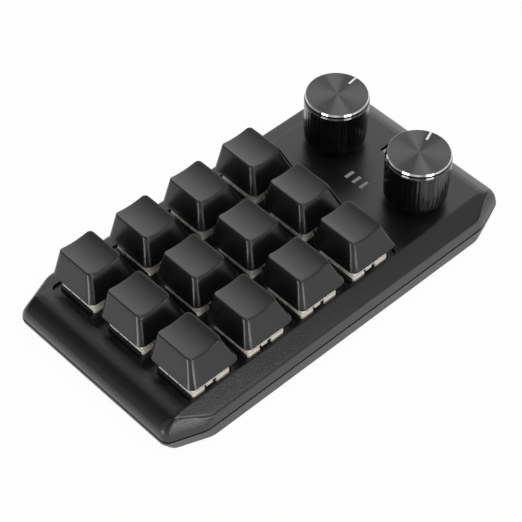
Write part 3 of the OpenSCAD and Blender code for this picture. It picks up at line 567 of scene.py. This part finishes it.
# %% Sides, ends and corners of the case
HALF_LENGTH, HALF_WIDTH = 68.15, 36.0
BOTTOM_Z, FLOOR_Z, BOARD_Z, SEAM_Z, CREASE_Z = 0.8, 2.6, 4.9, 5.8, 9.9
CEILING_Z, PLATE_Z, TOP_Z = 10.0, 11.5, 12.5
WALL = 2.0
END_UPRIGHT, END_CURVE = 1.4, 7.4
BOTTOM_UPRIGHT, BOTTOM_SLOPE = 1.4, 2.7
BAND_LEAN, SIDE_BEVEL = 0.6, 6.0
CUT_LENGTH, CUT_WIDTH = 11.5, 4.4
CORNER_LEAN, CORNER_FOOT, CORNER_CURL, CURL_Z = 0.3, 1.0, 0.27, 8.4
corner_normal = Vector((CUT_WIDTH, CUT_LENGTH)).normalized()
corner_reach = corner_normal.dot(Vector((HALF_LENGTH, HALF_WIDTH - CUT_WIDTH)))


def end_at(z):
    """Half length of the case at height z."""
    up = min(1, max(0, z - SEAM_Z - END_UPRIGHT) / (TOP_Z - SEAM_Z - END_UPRIGHT))
    down = max(0, SEAM_Z - BOTTOM_UPRIGHT - z) / (SEAM_Z - BOTTOM_Z - BOTTOM_UPRIGHT)
    return HALF_LENGTH - END_CURVE * (1 - math.sqrt(1 - up * up)) - BOTTOM_SLOPE * down


def side_at(z):
    """Half width of the case at height z."""
    band = max(0, min(z, CREASE_Z) - SEAM_Z) / (CREASE_Z - SEAM_Z)
    bevel = max(0, z - CREASE_Z) / (TOP_Z - CREASE_Z)
    return HALF_WIDTH - BAND_LEAN * band - SIDE_BEVEL * bevel


def corner_at(z):
    """Distance of the cut corner's face from the middle at height z."""
    lean = CORNER_LEAN * max(0, z - SEAM_Z) + CORNER_CURL * max(0, z - CURL_Z)
    foot = CORNER_FOOT * max(0, SEAM_Z - z) / (SEAM_Z - BOTTOM_Z)
    return corner_reach - lean - foot


print("case", 2 * HALF_LENGTH, "x", 2 * HALF_WIDTH, "mm")

# %% Outline of the case
EASE_STEPS = 16
END_EASE, SIDE_EASE = 0.2, 0.45
END_RADIUS, SIDE_RADIUS = 2.8, 9.0
END_TANGENT, SIDE_TANGENT = 0.75, 0.2
LEAST_CUT_LENGTH, LEAST_CUT_WIDTH = 1.2, 0.48
ARC_STEPS = 8


def eased(profile, z, reach):
    """Mean of a profile over a short height, which rounds its creases."""
    heights = [z + reach * (2 * i / EASE_STEPS - 1) for i in range(EASE_STEPS + 1)]
    return sum(profile(height) for height in heights) / len(heights)


def arc(before, corner, after, radius):
    """Points of the arc that rounds a corner."""
    u, v = (before - corner).normalized(), (after - corner).normalized()
    half = u.angle(v) / 2
    centre = corner + (u + v).normalized() * radius / math.sin(half)
    start = corner + u * radius / math.tan(half) - centre
    end = corner + v * radius / math.tan(half) - centre
    turn = start.angle_signed(end)
    return [centre + Matrix.Rotation(-turn * i / ARC_STEPS, 2) @ start
            for i in range(ARC_STEPS + 1)]


def outline(z, inset):
    """Points of the case's outline at height z, moved in by inset.

    A cut corner that is short near the top gets smaller roundings, so that they still fit.
    """
    x = eased(end_at, z, END_EASE) - inset
    y = eased(side_at, z, SIDE_EASE) - inset
    face = corner_at(z) - inset
    cx = min((face - corner_normal.y * y) / corner_normal.x, x - LEAST_CUT_LENGTH)
    cy = min((face - corner_normal.x * x) / corner_normal.y, y - LEAST_CUT_WIDTH)
    room = SIDE_TANGENT * SIDE_RADIUS + END_TANGENT * END_RADIUS
    fit = min(1, math.hypot(x - cx, y - cy) / room)
    s, e = fit * SIDE_RADIUS, fit * END_RADIUS
    points = [Vector(p) for p in (
        (-cx, -y), (cx, -y), (x, -cy), (x, cy), (cx, y), (-cx, y), (-x, cy), (-x, -cy))]
    radii = (s, s, e, e, s, s, e, e)
    return [p for i in range(8)
            for p in arc(points[i - 1], points[i], points[(i + 1) % 8], radii[i])]


print("outline points:", len(outline(SEAM_Z, 0)))

# %% Loops of the case
BLEND_STEPS = 4
CREASE_END, CREASE_FADE = 58, 5


def level(z, inset, height=None, blend=0.0):
    """One loop for a loft: the mean outline within blend of z, at its own or another height.

    The blend rounds the corners, while the long sides keep the crease of the outline at z.
    """
    offsets = [blend * i / BLEND_STEPS for i in range(-BLEND_STEPS, BLEND_STEPS + 1)]
    near = [outline(z + offset, inset) for offset in offsets]
    made = [sum(points, Vector((0, 0))) / len(near) for points in zip(*near)]
    slack = max(p.y for p in near[BLEND_STEPS]) - max(p.y for p in made)
    for p in made:
        share = min(1, max(0, (CREASE_END - abs(p.x)) / CREASE_FADE))
        p.y += math.copysign(slack, p.y) * share
    return [(p.x, p.y, z if height is None else height) for p in made]


def rolled_rim(face_z, high, wide, steps, from_face=False):
    """Loops of a quarter-round rim between the wall and a flat face at face_z.

    A negative height puts the rim above its face. The loops run from the wall to the
    face, or the other way.
    """
    turns = [i / steps for i in range(steps + 1)]
    if from_face:
        turns.reverse()
    return [level(face_z - high * (1 - t), wide * (1 - math.sqrt(1 - t * t))) for t in turns]


print("loops fade their crease from", CREASE_END - CREASE_FADE, "to", CREASE_END, "mm")

# %% [markdown]
# The shells are hollow. Each is one loft that runs along the inside to the seam, over the
# rim there and back along the outside, and the openings are cut out of it afterwards
# with a solid of their shape. The rims of the openings are rounded last, because a cut
# leaves them sharp.

# %% Openings shared by the shells
SCREWS = [(sx * 58.85, sy * 24.2) for sx in (-1, 1) for sy in (-1, 1)]
SCREWS += [(28.45, -27.2), (28.45, 27.2)]
FEET = [(sx * 47.35, sy * 27.2) for sx in (-1, 1) for sy in (-1, 1)]
KEY_PITCH = 21.0
KEY_X = [-47.85 + KEY_PITCH * i for i in range(4)]
KEY_Y = [KEY_PITCH, 0.0, -KEY_PITCH]
PORT_X, PORT_Z, PORT_HALF, PORT_RADIUS = 38.05, 5.7, 4.87, 2.0
PORT_CUT, PORT_STEPS = (31.0, 38.0), 10
SEAM_GAP, SEAM_EDGE, SEAM_STEPS = 0.25, 0.15, 4


def port_hole(bm):
    """The rounded slot for the plug, through the back wall."""
    flat = PORT_HALF - PORT_RADIUS
    ring = turn_points(PORT_X + flat, PORT_Z, PORT_RADIUS, -90, PORT_STEPS, sweep=180)
    ring += turn_points(PORT_X - flat, PORT_Z, PORT_RADIUS, 90, PORT_STEPS, sweep=180)
    loft(bm, [[(x, y, z) for x, z in ring] for y in PORT_CUT])


print("screws", len(SCREWS), "feet", len(FEET))

# %% Top shell
REBATE_INSET, REBATE_HIGH = 1.1, 1.3
INSIDE_DROP = 0.6
BAND_STEPS, CROWN_STEPS = 18, 16
TOP_RIM_HIGH, TOP_RIM_WIDE, TOP_RIM_STEPS = 0.22, 0.5, 5
CORNER_BLEND, CROWN_BLEND = 0.8, 0.8

lip_z = SEAM_Z + SEAM_GAP
edge_z = lip_z + SEAM_EDGE
rim_z = TOP_Z - TOP_RIM_HIGH
band = [edge_z + (CREASE_Z - edge_z) * i / BAND_STEPS for i in range(1, BAND_STEPS)]
crown = [CREASE_Z + (TOP_Z - CREASE_Z) * math.sin(math.radians(90 * i / CROWN_STEPS))
         for i in range(CROWN_STEPS)]

inside = (CEILING_Z + INSIDE_DROP, CREASE_Z, SEAM_Z + END_UPRIGHT + INSIDE_DROP)
loops = [level(z, WALL, z - INSIDE_DROP) for z in inside]
loops += [level(SEAM_Z, WALL, SEAM_Z + REBATE_HIGH),
          level(SEAM_Z, REBATE_INSET, SEAM_Z + REBATE_HIGH), level(SEAM_Z, REBATE_INSET, lip_z)]
loops += rolled_rim(lip_z, -SEAM_EDGE, SEAM_EDGE, SEAM_STEPS, from_face=True)
for z in band + [z for z in crown if z < rim_z]:
    blend = min(CORNER_BLEND, z - edge_z, (rim_z - z) * CROWN_BLEND)
    loops.append(level(z, 0, blend=blend))
loops += rolled_rim(TOP_Z, TOP_RIM_HIGH, TOP_RIM_WIDE, TOP_RIM_STEPS)
shell = bmesh.new()
loft(shell, loops)
print("top shell loft:", len(shell.faces))

# %% Cut the well, the windows and the other openings
WELL_LEFT, WELL_RIGHT, WELL_HALF, WELL_RADIUS, WELL_STEPS = -58.2, 25.5, 29.5, 2.0, 8
WINDOW_X, WINDOWS_Y, WINDOW_SIZE = 38.05, (-3.05, 0.0, 3.05), (3.7, 1.3)
SLOT_X, SLOT_SIZE = 54.45, (3.6, 8.4)
SHAFT_HOLE, SWITCH_HALF = 3.7, 7
UNDER_TOP, ABOVE_WELL, ABOVE_TOP = 9, 12, 14

ring = []
for side_x, side_y, start in ((1, -1, -90), (1, 1, 0), (-1, 1, 90), (-1, -1, 180)):
    x = WELL_RIGHT - WELL_RADIUS if side_x > 0 else WELL_LEFT + WELL_RADIUS
    ring += turn_points(x, side_y * (WELL_HALF - WELL_RADIUS), WELL_RADIUS, start, WELL_STEPS)
well = bmesh.new()
loft(well, [[(x, y, z) for x, y in ring] for z in (PLATE_Z, TOP_Z + 1)])
shell = carved(shell, well)

cuts = bmesh.new()
slots = [(WINDOW_X, y, WINDOW_SIZE) for y in WINDOWS_Y] + [(SLOT_X, 0, SLOT_SIZE)]
for x, y, (wide, deep) in slots:
    block(cuts, (x - wide / 2, y - deep / 2, UNDER_TOP), (x + wide / 2, y + deep / 2, ABOVE_TOP))
for y in (-KNOB_Y, KNOB_Y):
    drum(cuts, KNOB_X, y, UNDER_TOP, ABOVE_TOP, SHAFT_HOLE)
for x in KEY_X:
    for y in KEY_Y:
        block(cuts, (x - SWITCH_HALF, y - SWITCH_HALF, UNDER_TOP),
              (x + SWITCH_HALF, y + SWITCH_HALF, ABOVE_WELL))
port_hole(cuts)
shell = carved(shell, cuts)
print("top shell with its openings:", len(shell.faces))

# %% Round the rims of the top's openings
MERGE = 0.0005
RIM_ANGLE, FACE_MARGIN = 60, 0.01
KEYS_END_X = 30
WELL_RIM, WELL_RIM_STEPS = 0.3, 3
OPENING_RIM, OPENING_RIM_STEPS = 0.12, 2


def on_level(p, z):
    """Whether a point lies on the flat face at height z."""
    return abs(p.z - z) < FACE_MARGIN


bmesh.ops.remove_doubles(shell, verts=shell.verts, dist=MERGE)
well_rim = sharp_edges(shell, RIM_ANGLE, lambda p: on_level(p, TOP_Z) and p.x < KEYS_END_X)
soften(shell, well_rim, WELL_RIM, WELL_RIM_STEPS)
rims = sharp_edges(shell, RIM_ANGLE, lambda p: on_level(p, TOP_Z) and p.x > KEYS_END_X)
soften(shell, rims, OPENING_RIM, OPENING_RIM_STEPS)
new_piece("case_top", shell, "case", "case_black", "top_shell", flat=True)

# %% Bottom shell
TONGUE_INSET, TONGUE_HIGH = 1.2, 1.2
FLOOR_INSET = 0.4
OUTSIDE = (5.0, 4.4, 3.6, 2.8)
BOTTOM_EDGE, BOTTOM_STEPS = 1.1, 6
SCREW_HOLE, SCREW_RECESS, SCREW_SEAT = 1.45, 2.6, 0.6
FOOT_RECESS, FOOT_DEPTH = 4.6, 0.7
HOLE_SEGMENTS = 32
RECESS_RIM, RECESS_RIM_STEPS = 0.15, 2

edge_z = SEAM_Z - SEAM_GAP
loops = [level(FLOOR_Z, WALL + FLOOR_INSET), level(BOARD_Z, WALL)]
loops += [level(SEAM_Z, WALL, SEAM_Z + TONGUE_HIGH),
          level(SEAM_Z, TONGUE_INSET, SEAM_Z + TONGUE_HIGH), level(SEAM_Z, TONGUE_INSET, edge_z)]
loops += rolled_rim(edge_z, SEAM_EDGE, SEAM_EDGE, SEAM_STEPS, from_face=True)
loops += [level(z, 0) for z in OUTSIDE]
loops += rolled_rim(BOTTOM_Z, -BOTTOM_EDGE, BOTTOM_EDGE, BOTTOM_STEPS)
tray = bmesh.new()
loft(tray, loops)

cuts = bmesh.new()
port_hole(cuts)
for x, y in SCREWS:
    drum(cuts, x, y, 0, FLOOR_Z + 1, SCREW_HOLE, HOLE_SEGMENTS)
for x, y in FEET:
    drum(cuts, x, y, 0, BOTTOM_Z + FOOT_DEPTH, FOOT_RECESS)
tray = carved(tray, cuts)
cuts = bmesh.new()
for x, y in SCREWS:
    drum(cuts, x, y, 0, FLOOR_Z - SCREW_SEAT, SCREW_RECESS, HOLE_SEGMENTS)
tray = carved(tray, cuts)
bmesh.ops.remove_doubles(tray, verts=tray.verts, dist=MERGE)
rims = sharp_edges(tray, RIM_ANGLE, lambda p: on_level(p, BOTTOM_Z))
soften(tray, rims, RECESS_RIM, RECESS_RIM_STEPS)
new_piece("case_bottom", tray, "case", "case_black", "bottom_shell", flat=True)

# %% [markdown]
# ## The keycaps
#
# A keycap is a hollow moulded block. Its four sides lean in, its vertical edges are
# rounded, and its top is a shallow trough that runs front to back. All twelve have one
# profile, so one cap is lofted with a soft top edge, and the others are copies of it.

# %% Outline and trough of a keycap
CAP_Z, CAP_HEIGHT, CAP_DISH, CAP_WALL = 17.3, 7.9, 0.8, 1.4
CAP_BASE, CAP_TOP, CAP_SHIFT = 18.3, (11.9, 13.7), 2.0
CAP_FOOT_RADIUS, CAP_TOP_RADIUS, LEAST_RADIUS, RADIUS_INSET = 2.3, 1.5, 0.3, 0.6
CAP_ARC, CAP_SIDE = 8, 6
dish_radius = (CAP_TOP[0] ** 2 / 4 + CAP_DISH ** 2) / (2 * CAP_DISH)


def cap_loop(t, inset):
    """Outline of the cap at t, from 0 at its foot to 1 at the corners of its top."""
    half_x, half_y = [(CAP_BASE + (top - CAP_BASE) * t) / 2 - inset for top in CAP_TOP]
    radius = CAP_FOOT_RADIUS + (CAP_TOP_RADIUS - CAP_FOOT_RADIUS) * t - inset * RADIUS_INSET
    radius = max(LEAST_RADIUS, radius)
    points = []
    for sx, sy, start in ((1, -1, -90), (1, 1, 0), (-1, 1, 90), (-1, -1, 180)):
        points += turn_points(sx * (half_x - radius), sy * (half_y - radius) + CAP_SHIFT * t,
                              radius, start, CAP_ARC)
    points = [Vector(p) for p in points]
    full = []
    for i, p in enumerate(points):
        full.append(p)
        if i % (CAP_ARC + 1) == CAP_ARC:
            after = points[(i + 1) % len(points)]
            full += [p.lerp(after, k / CAP_SIDE) for k in range(1, CAP_SIDE)]
    return full


def dish(x):
    """Height of the trough above the cap's foot."""
    return CAP_HEIGHT - CAP_DISH + dish_radius - math.sqrt(dish_radius ** 2 - x * x)


def at_dish(inset):
    """Where the cap's outline, moved in by inset, meets the trough."""
    loop = []
    for k, p in enumerate(cap_loop(1, inset)):
        q = cap_loop(dish(p.x) / CAP_HEIGHT, inset)[k]
        loop.append(Vector((q.x, q.y, dish(q.x))))
    return loop


print("points round a keycap:", len(cap_loop(0, 0)))

# %% One keycap
TOP_EDGE, TOP_EDGE_STEPS = 0.35, 5
FOOT_EDGE, FOOT_EDGE_STEPS = 0.15, 3
ROOF_Z = CAP_HEIGHT - CAP_DISH - CAP_WALL
ROOF_SHARE = 0.7
SIDE_LEVELS = (0.12, 0.3, 0.5, 0.7)
TROUGH_RINGS = (0.86, 0.7, 0.52, 0.34, 0.16)


def at_height(points, z):
    return [(p.x, p.y, z) for p in points]


rim = at_dish(0)
low = []
for k, p in enumerate(rim):
    z = p.z - TOP_EDGE
    q = cap_loop(z / CAP_HEIGHT, 0)[k]
    low.append(Vector((q.x, q.y, z)))
inner = at_dish(TOP_EDGE)
loops = [at_height(cap_loop(ROOF_SHARE, CAP_WALL), ROOF_Z), at_height(cap_loop(0, CAP_WALL), 0.0)]
for i in range(FOOT_EDGE_STEPS + 1):
    a = math.radians(90 * i / FOOT_EDGE_STEPS)
    foot = cap_loop(0, FOOT_EDGE * (1 - math.sin(a)))
    loops.append(at_height(foot, FOOT_EDGE * (1 - math.cos(a))))
loops += [at_height(cap_loop(t, 0), CAP_HEIGHT * t) for t in SIDE_LEVELS]
for i in range(TOP_EDGE_STEPS + 1):
    t = i / TOP_EDGE_STEPS
    loops.append([tuple(a * (1 - t) ** 2 + b * 2 * t * (1 - t) + c * t * t)
                  for a, b, c in zip(low, rim, inner)])
middle = sum((p.xy for p in inner), Vector((0, 0))) / len(inner)
for share in TROUGH_RINGS:
    ring = [middle + (p.xy - middle) * share for p in inner]
    loops.append([(p.x, p.y, dish(p.x)) for p in ring])
cap = bmesh.new()
loft(cap, loops)
bmesh.ops.recalc_face_normals(cap, faces=cap.faces)
print("keycap faces:", len(cap.faces))

# %% Post with its cross-shaped socket, and the twelve copies
POST_RADIUS, POST_LOW, POST_JOIN, POST_SEGMENTS = 2.75, 1.0, 0.3, 40
CROSS_LONG, CROSS_WIDE, CROSS_LOW, CROSS_TOP = 2.05, 0.625, -1, 4.42

post = bmesh.new()
drum(post, 0, 0, POST_LOW, ROOF_Z + POST_JOIN, POST_RADIUS, POST_SEGMENTS)
for half_x, half_y in ((CROSS_LONG, CROSS_WIDE), (CROSS_WIDE, CROSS_LONG)):
    cross = bmesh.new()
    block(cross, (-half_x, -half_y, CROSS_LOW), (half_x, half_y, CROSS_TOP))
    post = carved(post, cross)
scratch = bpy.data.meshes.new("scratch")
post.to_mesh(scratch)
post.free()
cap.from_mesh(scratch)
bpy.data.meshes.remove(scratch)

for index, (x, y) in enumerate((x, y) for y in KEY_Y for x in KEY_X):
    number = f"{index + 1:02d}"
    one = cap.copy()
    bmesh.ops.translate(one, vec=(x, y, CAP_Z), verts=one.verts)
    new_piece("cap_" + number, one, "key_" + number, "keycap_black", "keycap_" + number)
cap.free()

# %% [markdown]
# ## The knobs
#
# A knob is a turned cup, so its profile is drawn once and spun. The fine flutes are
# pressed in afterwards: the spin has four columns of points for each flute, and two of
# the four are moved in. The rim below the flutes and the shoulder above stay plain.

# %% Profile of a knob
KNOB_R, KNOB_TAPER, KNOB_H = 10.05, 0.3, 16.0
GROOVE_R, RING_R, DISC_R = 9.4, 9.8, 9.5
SHOULDER_Z, GROOVE_Z, RING_Z = 14.2, 14.7, 15.4
HOLLOW_R, HOLLOW_TOP, HUB_R = 7.5, 13.0, 0.4
FLUTE_LOW, FLUTE_HIGH, FLUTE_RAMP = 1.8, 13.7, 0.3
BODY_LOW = 0.35
foot_r = KNOB_R - KNOB_TAPER


def body_r(z):
    """Radius of the tapered body at a height above the knob's foot."""
    return foot_r + KNOB_TAPER * (z - BODY_LOW) / (SHOULDER_Z - BODY_LOW)


profile = [(HUB_R, HOLLOW_TOP), (HOLLOW_R, HOLLOW_TOP), (HOLLOW_R, 0.1), (HOLLOW_R + 0.1, 0),
           (foot_r - 0.35, 0), (foot_r - 0.2, 0.03), (foot_r - 0.06, 0.16)]
profile += [(body_r(z), z) for z in (
    BODY_LOW, 1.0, FLUTE_LOW, FLUTE_LOW + FLUTE_RAMP, 5.0, 8.0, 11.0,
    FLUTE_HIGH - FLUTE_RAMP, FLUTE_HIGH)]
profile += [(KNOB_R - 0.02, SHOULDER_Z - 0.12), (KNOB_R - 0.05, SHOULDER_Z),
            (KNOB_R - 0.30, GROOVE_Z - 0.03), (KNOB_R - 0.34, GROOVE_Z)]
profile += [(GROOVE_R + 0.03, GROOVE_Z + 0.02), (GROOVE_R, GROOVE_Z + 0.06),
            (GROOVE_R, RING_Z - 0.05), (GROOVE_R + 0.04, RING_Z - 0.02)]
profile += [(RING_R - 0.05, RING_Z), (RING_R, RING_Z + 0.05), (DISC_R + 0.04, KNOB_H - 0.05)]
profile += [(DISC_R, KNOB_H - 0.01), (DISC_R - 0.04, KNOB_H), (6.0, KNOB_H), (3.0, KNOB_H),
            (HUB_R, KNOB_H)]
print("points of the profile:", len(profile))

# %% Spin and flute the knobs
FLUTES, FLUTE_DEPTH, FLUTE_COLUMNS, PRESSED_COLUMNS = 45, 0.07, 4, 2
OUTSIDE_R, FLUTE_MARGIN = 8.5, 0.1
KNOB_SHARP = 12


def knob_mesh(y):
    """A spun and fluted knob at its place on the case."""
    bm = bmesh.new()
    line = [bm.verts.new((r, 0, z)) for r, z in profile]
    edges = [bm.edges.new(pair) for pair in zip(line, line[1:])]
    bmesh.ops.spin(bm, geom=line + edges, cent=(0, 0, 0), axis=(0, 0, 1), angle=2 * math.pi,
                   steps=FLUTE_COLUMNS * FLUTES, use_merge=True)
    for height in (HOLLOW_TOP, KNOB_H):
        hole = [e for e in bm.edges if e.is_boundary
                and all(abs(v.co.z - height) < FACE_MARGIN for v in e.verts)]
        bmesh.ops.edgeloop_fill(bm, edges=hole)
    for vert in bm.verts:
        r, z = vert.co.xy.length, vert.co.z
        if r > OUTSIDE_R and FLUTE_LOW + FLUTE_MARGIN < z < FLUTE_HIGH - FLUTE_MARGIN:
            turn = math.atan2(vert.co.y, vert.co.x) / (2 * math.pi)
            if round(turn * FLUTE_COLUMNS * FLUTES) % FLUTE_COLUMNS < PRESSED_COLUMNS:
                vert.co.xy *= 1 - FLUTE_DEPTH / r
    bmesh.ops.recalc_face_normals(bm, faces=bm.faces)
    bmesh.ops.translate(bm, vec=(KNOB_X, y, KNOB_FOOT), verts=bm.verts)
    return bm


for side, y in (("back", KNOB_Y), ("front", -KNOB_Y)):
    new_piece(side + "_knob_cup", knob_mesh(y), side + "_knob_turn", "knob_black", side + "_knob",
              finish="knob_black_" + side, sharp=KNOB_SHARP)

# %% [markdown]
# ## Small pieces with softened edges
#
# The switch housings, the windows, the slider, the socket, the screws and the feet have
# the right shape already. A copy of each is merged, its flat faces are joined, and its
# sharp edges are rounded a little, as moulding and punching leave them.

# %% Softened copies
COPY_MERGE, FLAT_ANGLE = 0.001, 1
COPY_ANGLE, COPY_SEGMENTS = 35, 2
SOFTENED = [
    # CAD node, piece, width of the rounding, finish
    ("switch_upper_housings", "switch_hoods", 0.1, "switch_cream"),
    ("switch_lower_housings", "switch_boxes", 0.08, "switch_black"),
    ("light_guide", "window_bars", 0.08, "window_grey"),
    ("mode_switch_slider", "mode_slider_cap", 0.12, "slider_grey"),
    ("case_screws", "screw_heads", 0.1, "screw_steel"),
    ("rubber_feet", "feet", 0.2, "foot_rubber"),
    ("usb_c_receptacle", "port_shell", 0.05, "socket_steel"),
]

for node, name, width, slot in SOFTENED:
    bm = bmesh.new()
    bm.from_mesh(nodes[node].data)
    bmesh.ops.scale(bm, vec=(1 / MM,) * 3, verts=bm.verts)
    bmesh.ops.remove_doubles(bm, verts=bm.verts, dist=COPY_MERGE)
    bmesh.ops.dissolve_limit(bm, angle_limit=math.radians(FLAT_ANGLE), verts=bm.verts,
                             edges=bm.edges, use_dissolve_boundaries=False, delimit=set())
    soften(bm, sharp_edges(bm, COPY_ANGLE, lambda p: True), width, COPY_SEGMENTS)
    new_piece(name, bm, nodes[node]["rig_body"], slot, node)

# %% [markdown]
# ## Finishes for the solids that stay
#
# The record names a finish slot for each solid. The pieces inside the case keep their
# exact shape and take the finish of their slot.

# %% Dress the remaining nodes
slot_of = {entry["node"]: entry["material_slot"] for entry in frame["record"]["subparts"]}
for name, node in nodes.items():
    if not node.hide_render:
        node.data.materials.clear()
        node.data.materials.append(FINISH[slot_of[name]])
print("dressed", sum(not n.hide_render for n in nodes.values()), "nodes")

# %% [markdown]
# ## Floor, lamps and surroundings
#
# The keypad stands on a white table in soft light. Black plastic is mostly seen by what
# it mirrors, so the surroundings matter. Two low strips at the left and the right of the
# camera give the paired highlights on round edges, one soft box above gives the shadow,
# and wide dim panels all round, pale behind and dark in between, shade the tops and the
# sides. The camera sees the floor as almost pure white that still takes a trace of the
# shadow, and mirror rays see it so near the keypad only.

# %% Floor
FLOOR_SIZE = 3
FLOOR_WHITE, FLOOR_ROUGH = (0.93, 0.93, 0.93, 1), 0.9
FLOOR_GLOW = 0.96
GLOW_NEAR, GLOW_FAR = 0.17, 0.27

grid = bmesh.new()
bmesh.ops.create_grid(grid, x_segments=1, y_segments=1, size=FLOOR_SIZE)
mesh = bpy.data.meshes.new("floor")
grid.to_mesh(mesh)
grid.free()
floor = put("floor", mesh)

tree, shader, place = start_material("floor_white")
shader.inputs["Base Color"].default_value = FLOOR_WHITE
shader.inputs["Roughness"].default_value = FLOOR_ROUGH
shader.inputs["Specular IOR Level"].default_value = 0.0
path = tree.nodes.new("ShaderNodeLightPath").outputs
near = maths(tree, "SUBTRACT", 1.0, ramp(tree, length(tree, place), GLOW_NEAR, GLOW_FAR, 1.0))
mirrored = maths(tree, "MULTIPLY", path["Is Glossy Ray"], near)
seen = maths(tree, "MAXIMUM", path["Is Camera Ray"], mirrored)
seen = maths(tree, "MAXIMUM", seen, path["Is Transmission Ray"])
glow = add(tree, "ShaderNodeEmission", Strength=1.0)
mix = add(tree, "ShaderNodeMixShader", maths(tree, "MULTIPLY", seen, FLOOR_GLOW),
          shader.outputs[0], glow.outputs[0])
feed(tree, tree.nodes["Material Output"].inputs["Surface"], mix.outputs[0])
mesh.materials.append(FINISH["floor_white"])
print("floor", 2 * FLOOR_SIZE, "m wide")

# %% Surroundings
AMBIENT = 0.65
BASE_GLOW, PANEL_CORE, PANEL_EDGE = 0.08, 2, 28
PANELS = [
    # climb and angle from +X in degrees, strength
    (8, 30, 1.23), (8, 0, 0.23), (8, 150, 0.15), (8, 210, 0.6), (8, 270, 0.6), (8, 300, 0.7),
    (24, 0, 1.02), (24, 30, 0.47), (24, 60, 0.51), (24, 150, 0.19),
    (42, 0, 0.30), (42, 30, 0.31), (42, 60, 0.69), (42, 180, 0.50), (42, 300, 0.35),
    (62, 45, 0.07), (62, 315, 0.12), (10, 238, 0.35)]

world = bpy.data.worlds.new("studio")
bpy.context.scene.world = world
world.use_nodes = True
tree = world.node_tree
sky = tree.nodes.new("ShaderNodeTexCoord").outputs["Generated"]
glow = BASE_GLOW
for climb, angle, bright in PANELS:
    towards = facing(tree, sky, heading(angle, climb))
    panel = ramp(tree, towards, cosine(PANEL_EDGE), cosine(PANEL_CORE), bright)
    glow = maths(tree, "ADD", glow, panel)

# Mirror rays see the panels, the camera sees white, and all else sees the plain ambient.
path = tree.nodes.new("ShaderNodeLightPath").outputs
mirrored = maths(tree, "MULTIPLY", path["Is Glossy Ray"], maths(tree, "SUBTRACT", glow, AMBIENT))
seen = maths(tree, "MAXIMUM", path["Is Camera Ray"], path["Is Transmission Ray"])
strength = maths(tree, "MULTIPLY_ADD", seen, 1 - AMBIENT, maths(tree, "ADD", mirrored, AMBIENT))
background = tree.nodes["Background"]
background.inputs["Color"].default_value = (1, 1, 1, 1)
feed(tree, background.inputs["Strength"], strength)
print("panels:", len(PANELS))

# %% Lamps
AIM = Vector((0, 0, 0.012))
LAMPS = [
    # name, direction from the keypad, distance and size in metres, power in watts
    ("high_box", (0.08, -0.47, 0.879), 0.9, (0.30, 0.30), 1.8),
    ("left_strip", (-0.984, -0.121, 0.13), 0.75, (0.30, 0.11), 0.85),
    ("right_strip", (-0.121, -0.984, 0.13), 0.75, (0.30, 0.11), 0.85)]

for name, direction, distance, (wide, tall), power in LAMPS:
    data = bpy.data.lights.new(name, "AREA")
    data.shape = "RECTANGLE"
    data.size, data.size_y = wide, tall
    data.energy = power
    lamp = put(name, data)
    lamp.location = AIM + Vector(direction).normalized() * distance
    lamp.rotation_euler = (lamp.location - AIM).to_track_quat("Z", "Y").to_euler()
print("lamps:", len(LAMPS))

# %% Set the view transform
bpy.context.scene.view_settings.view_transform = "Standard"
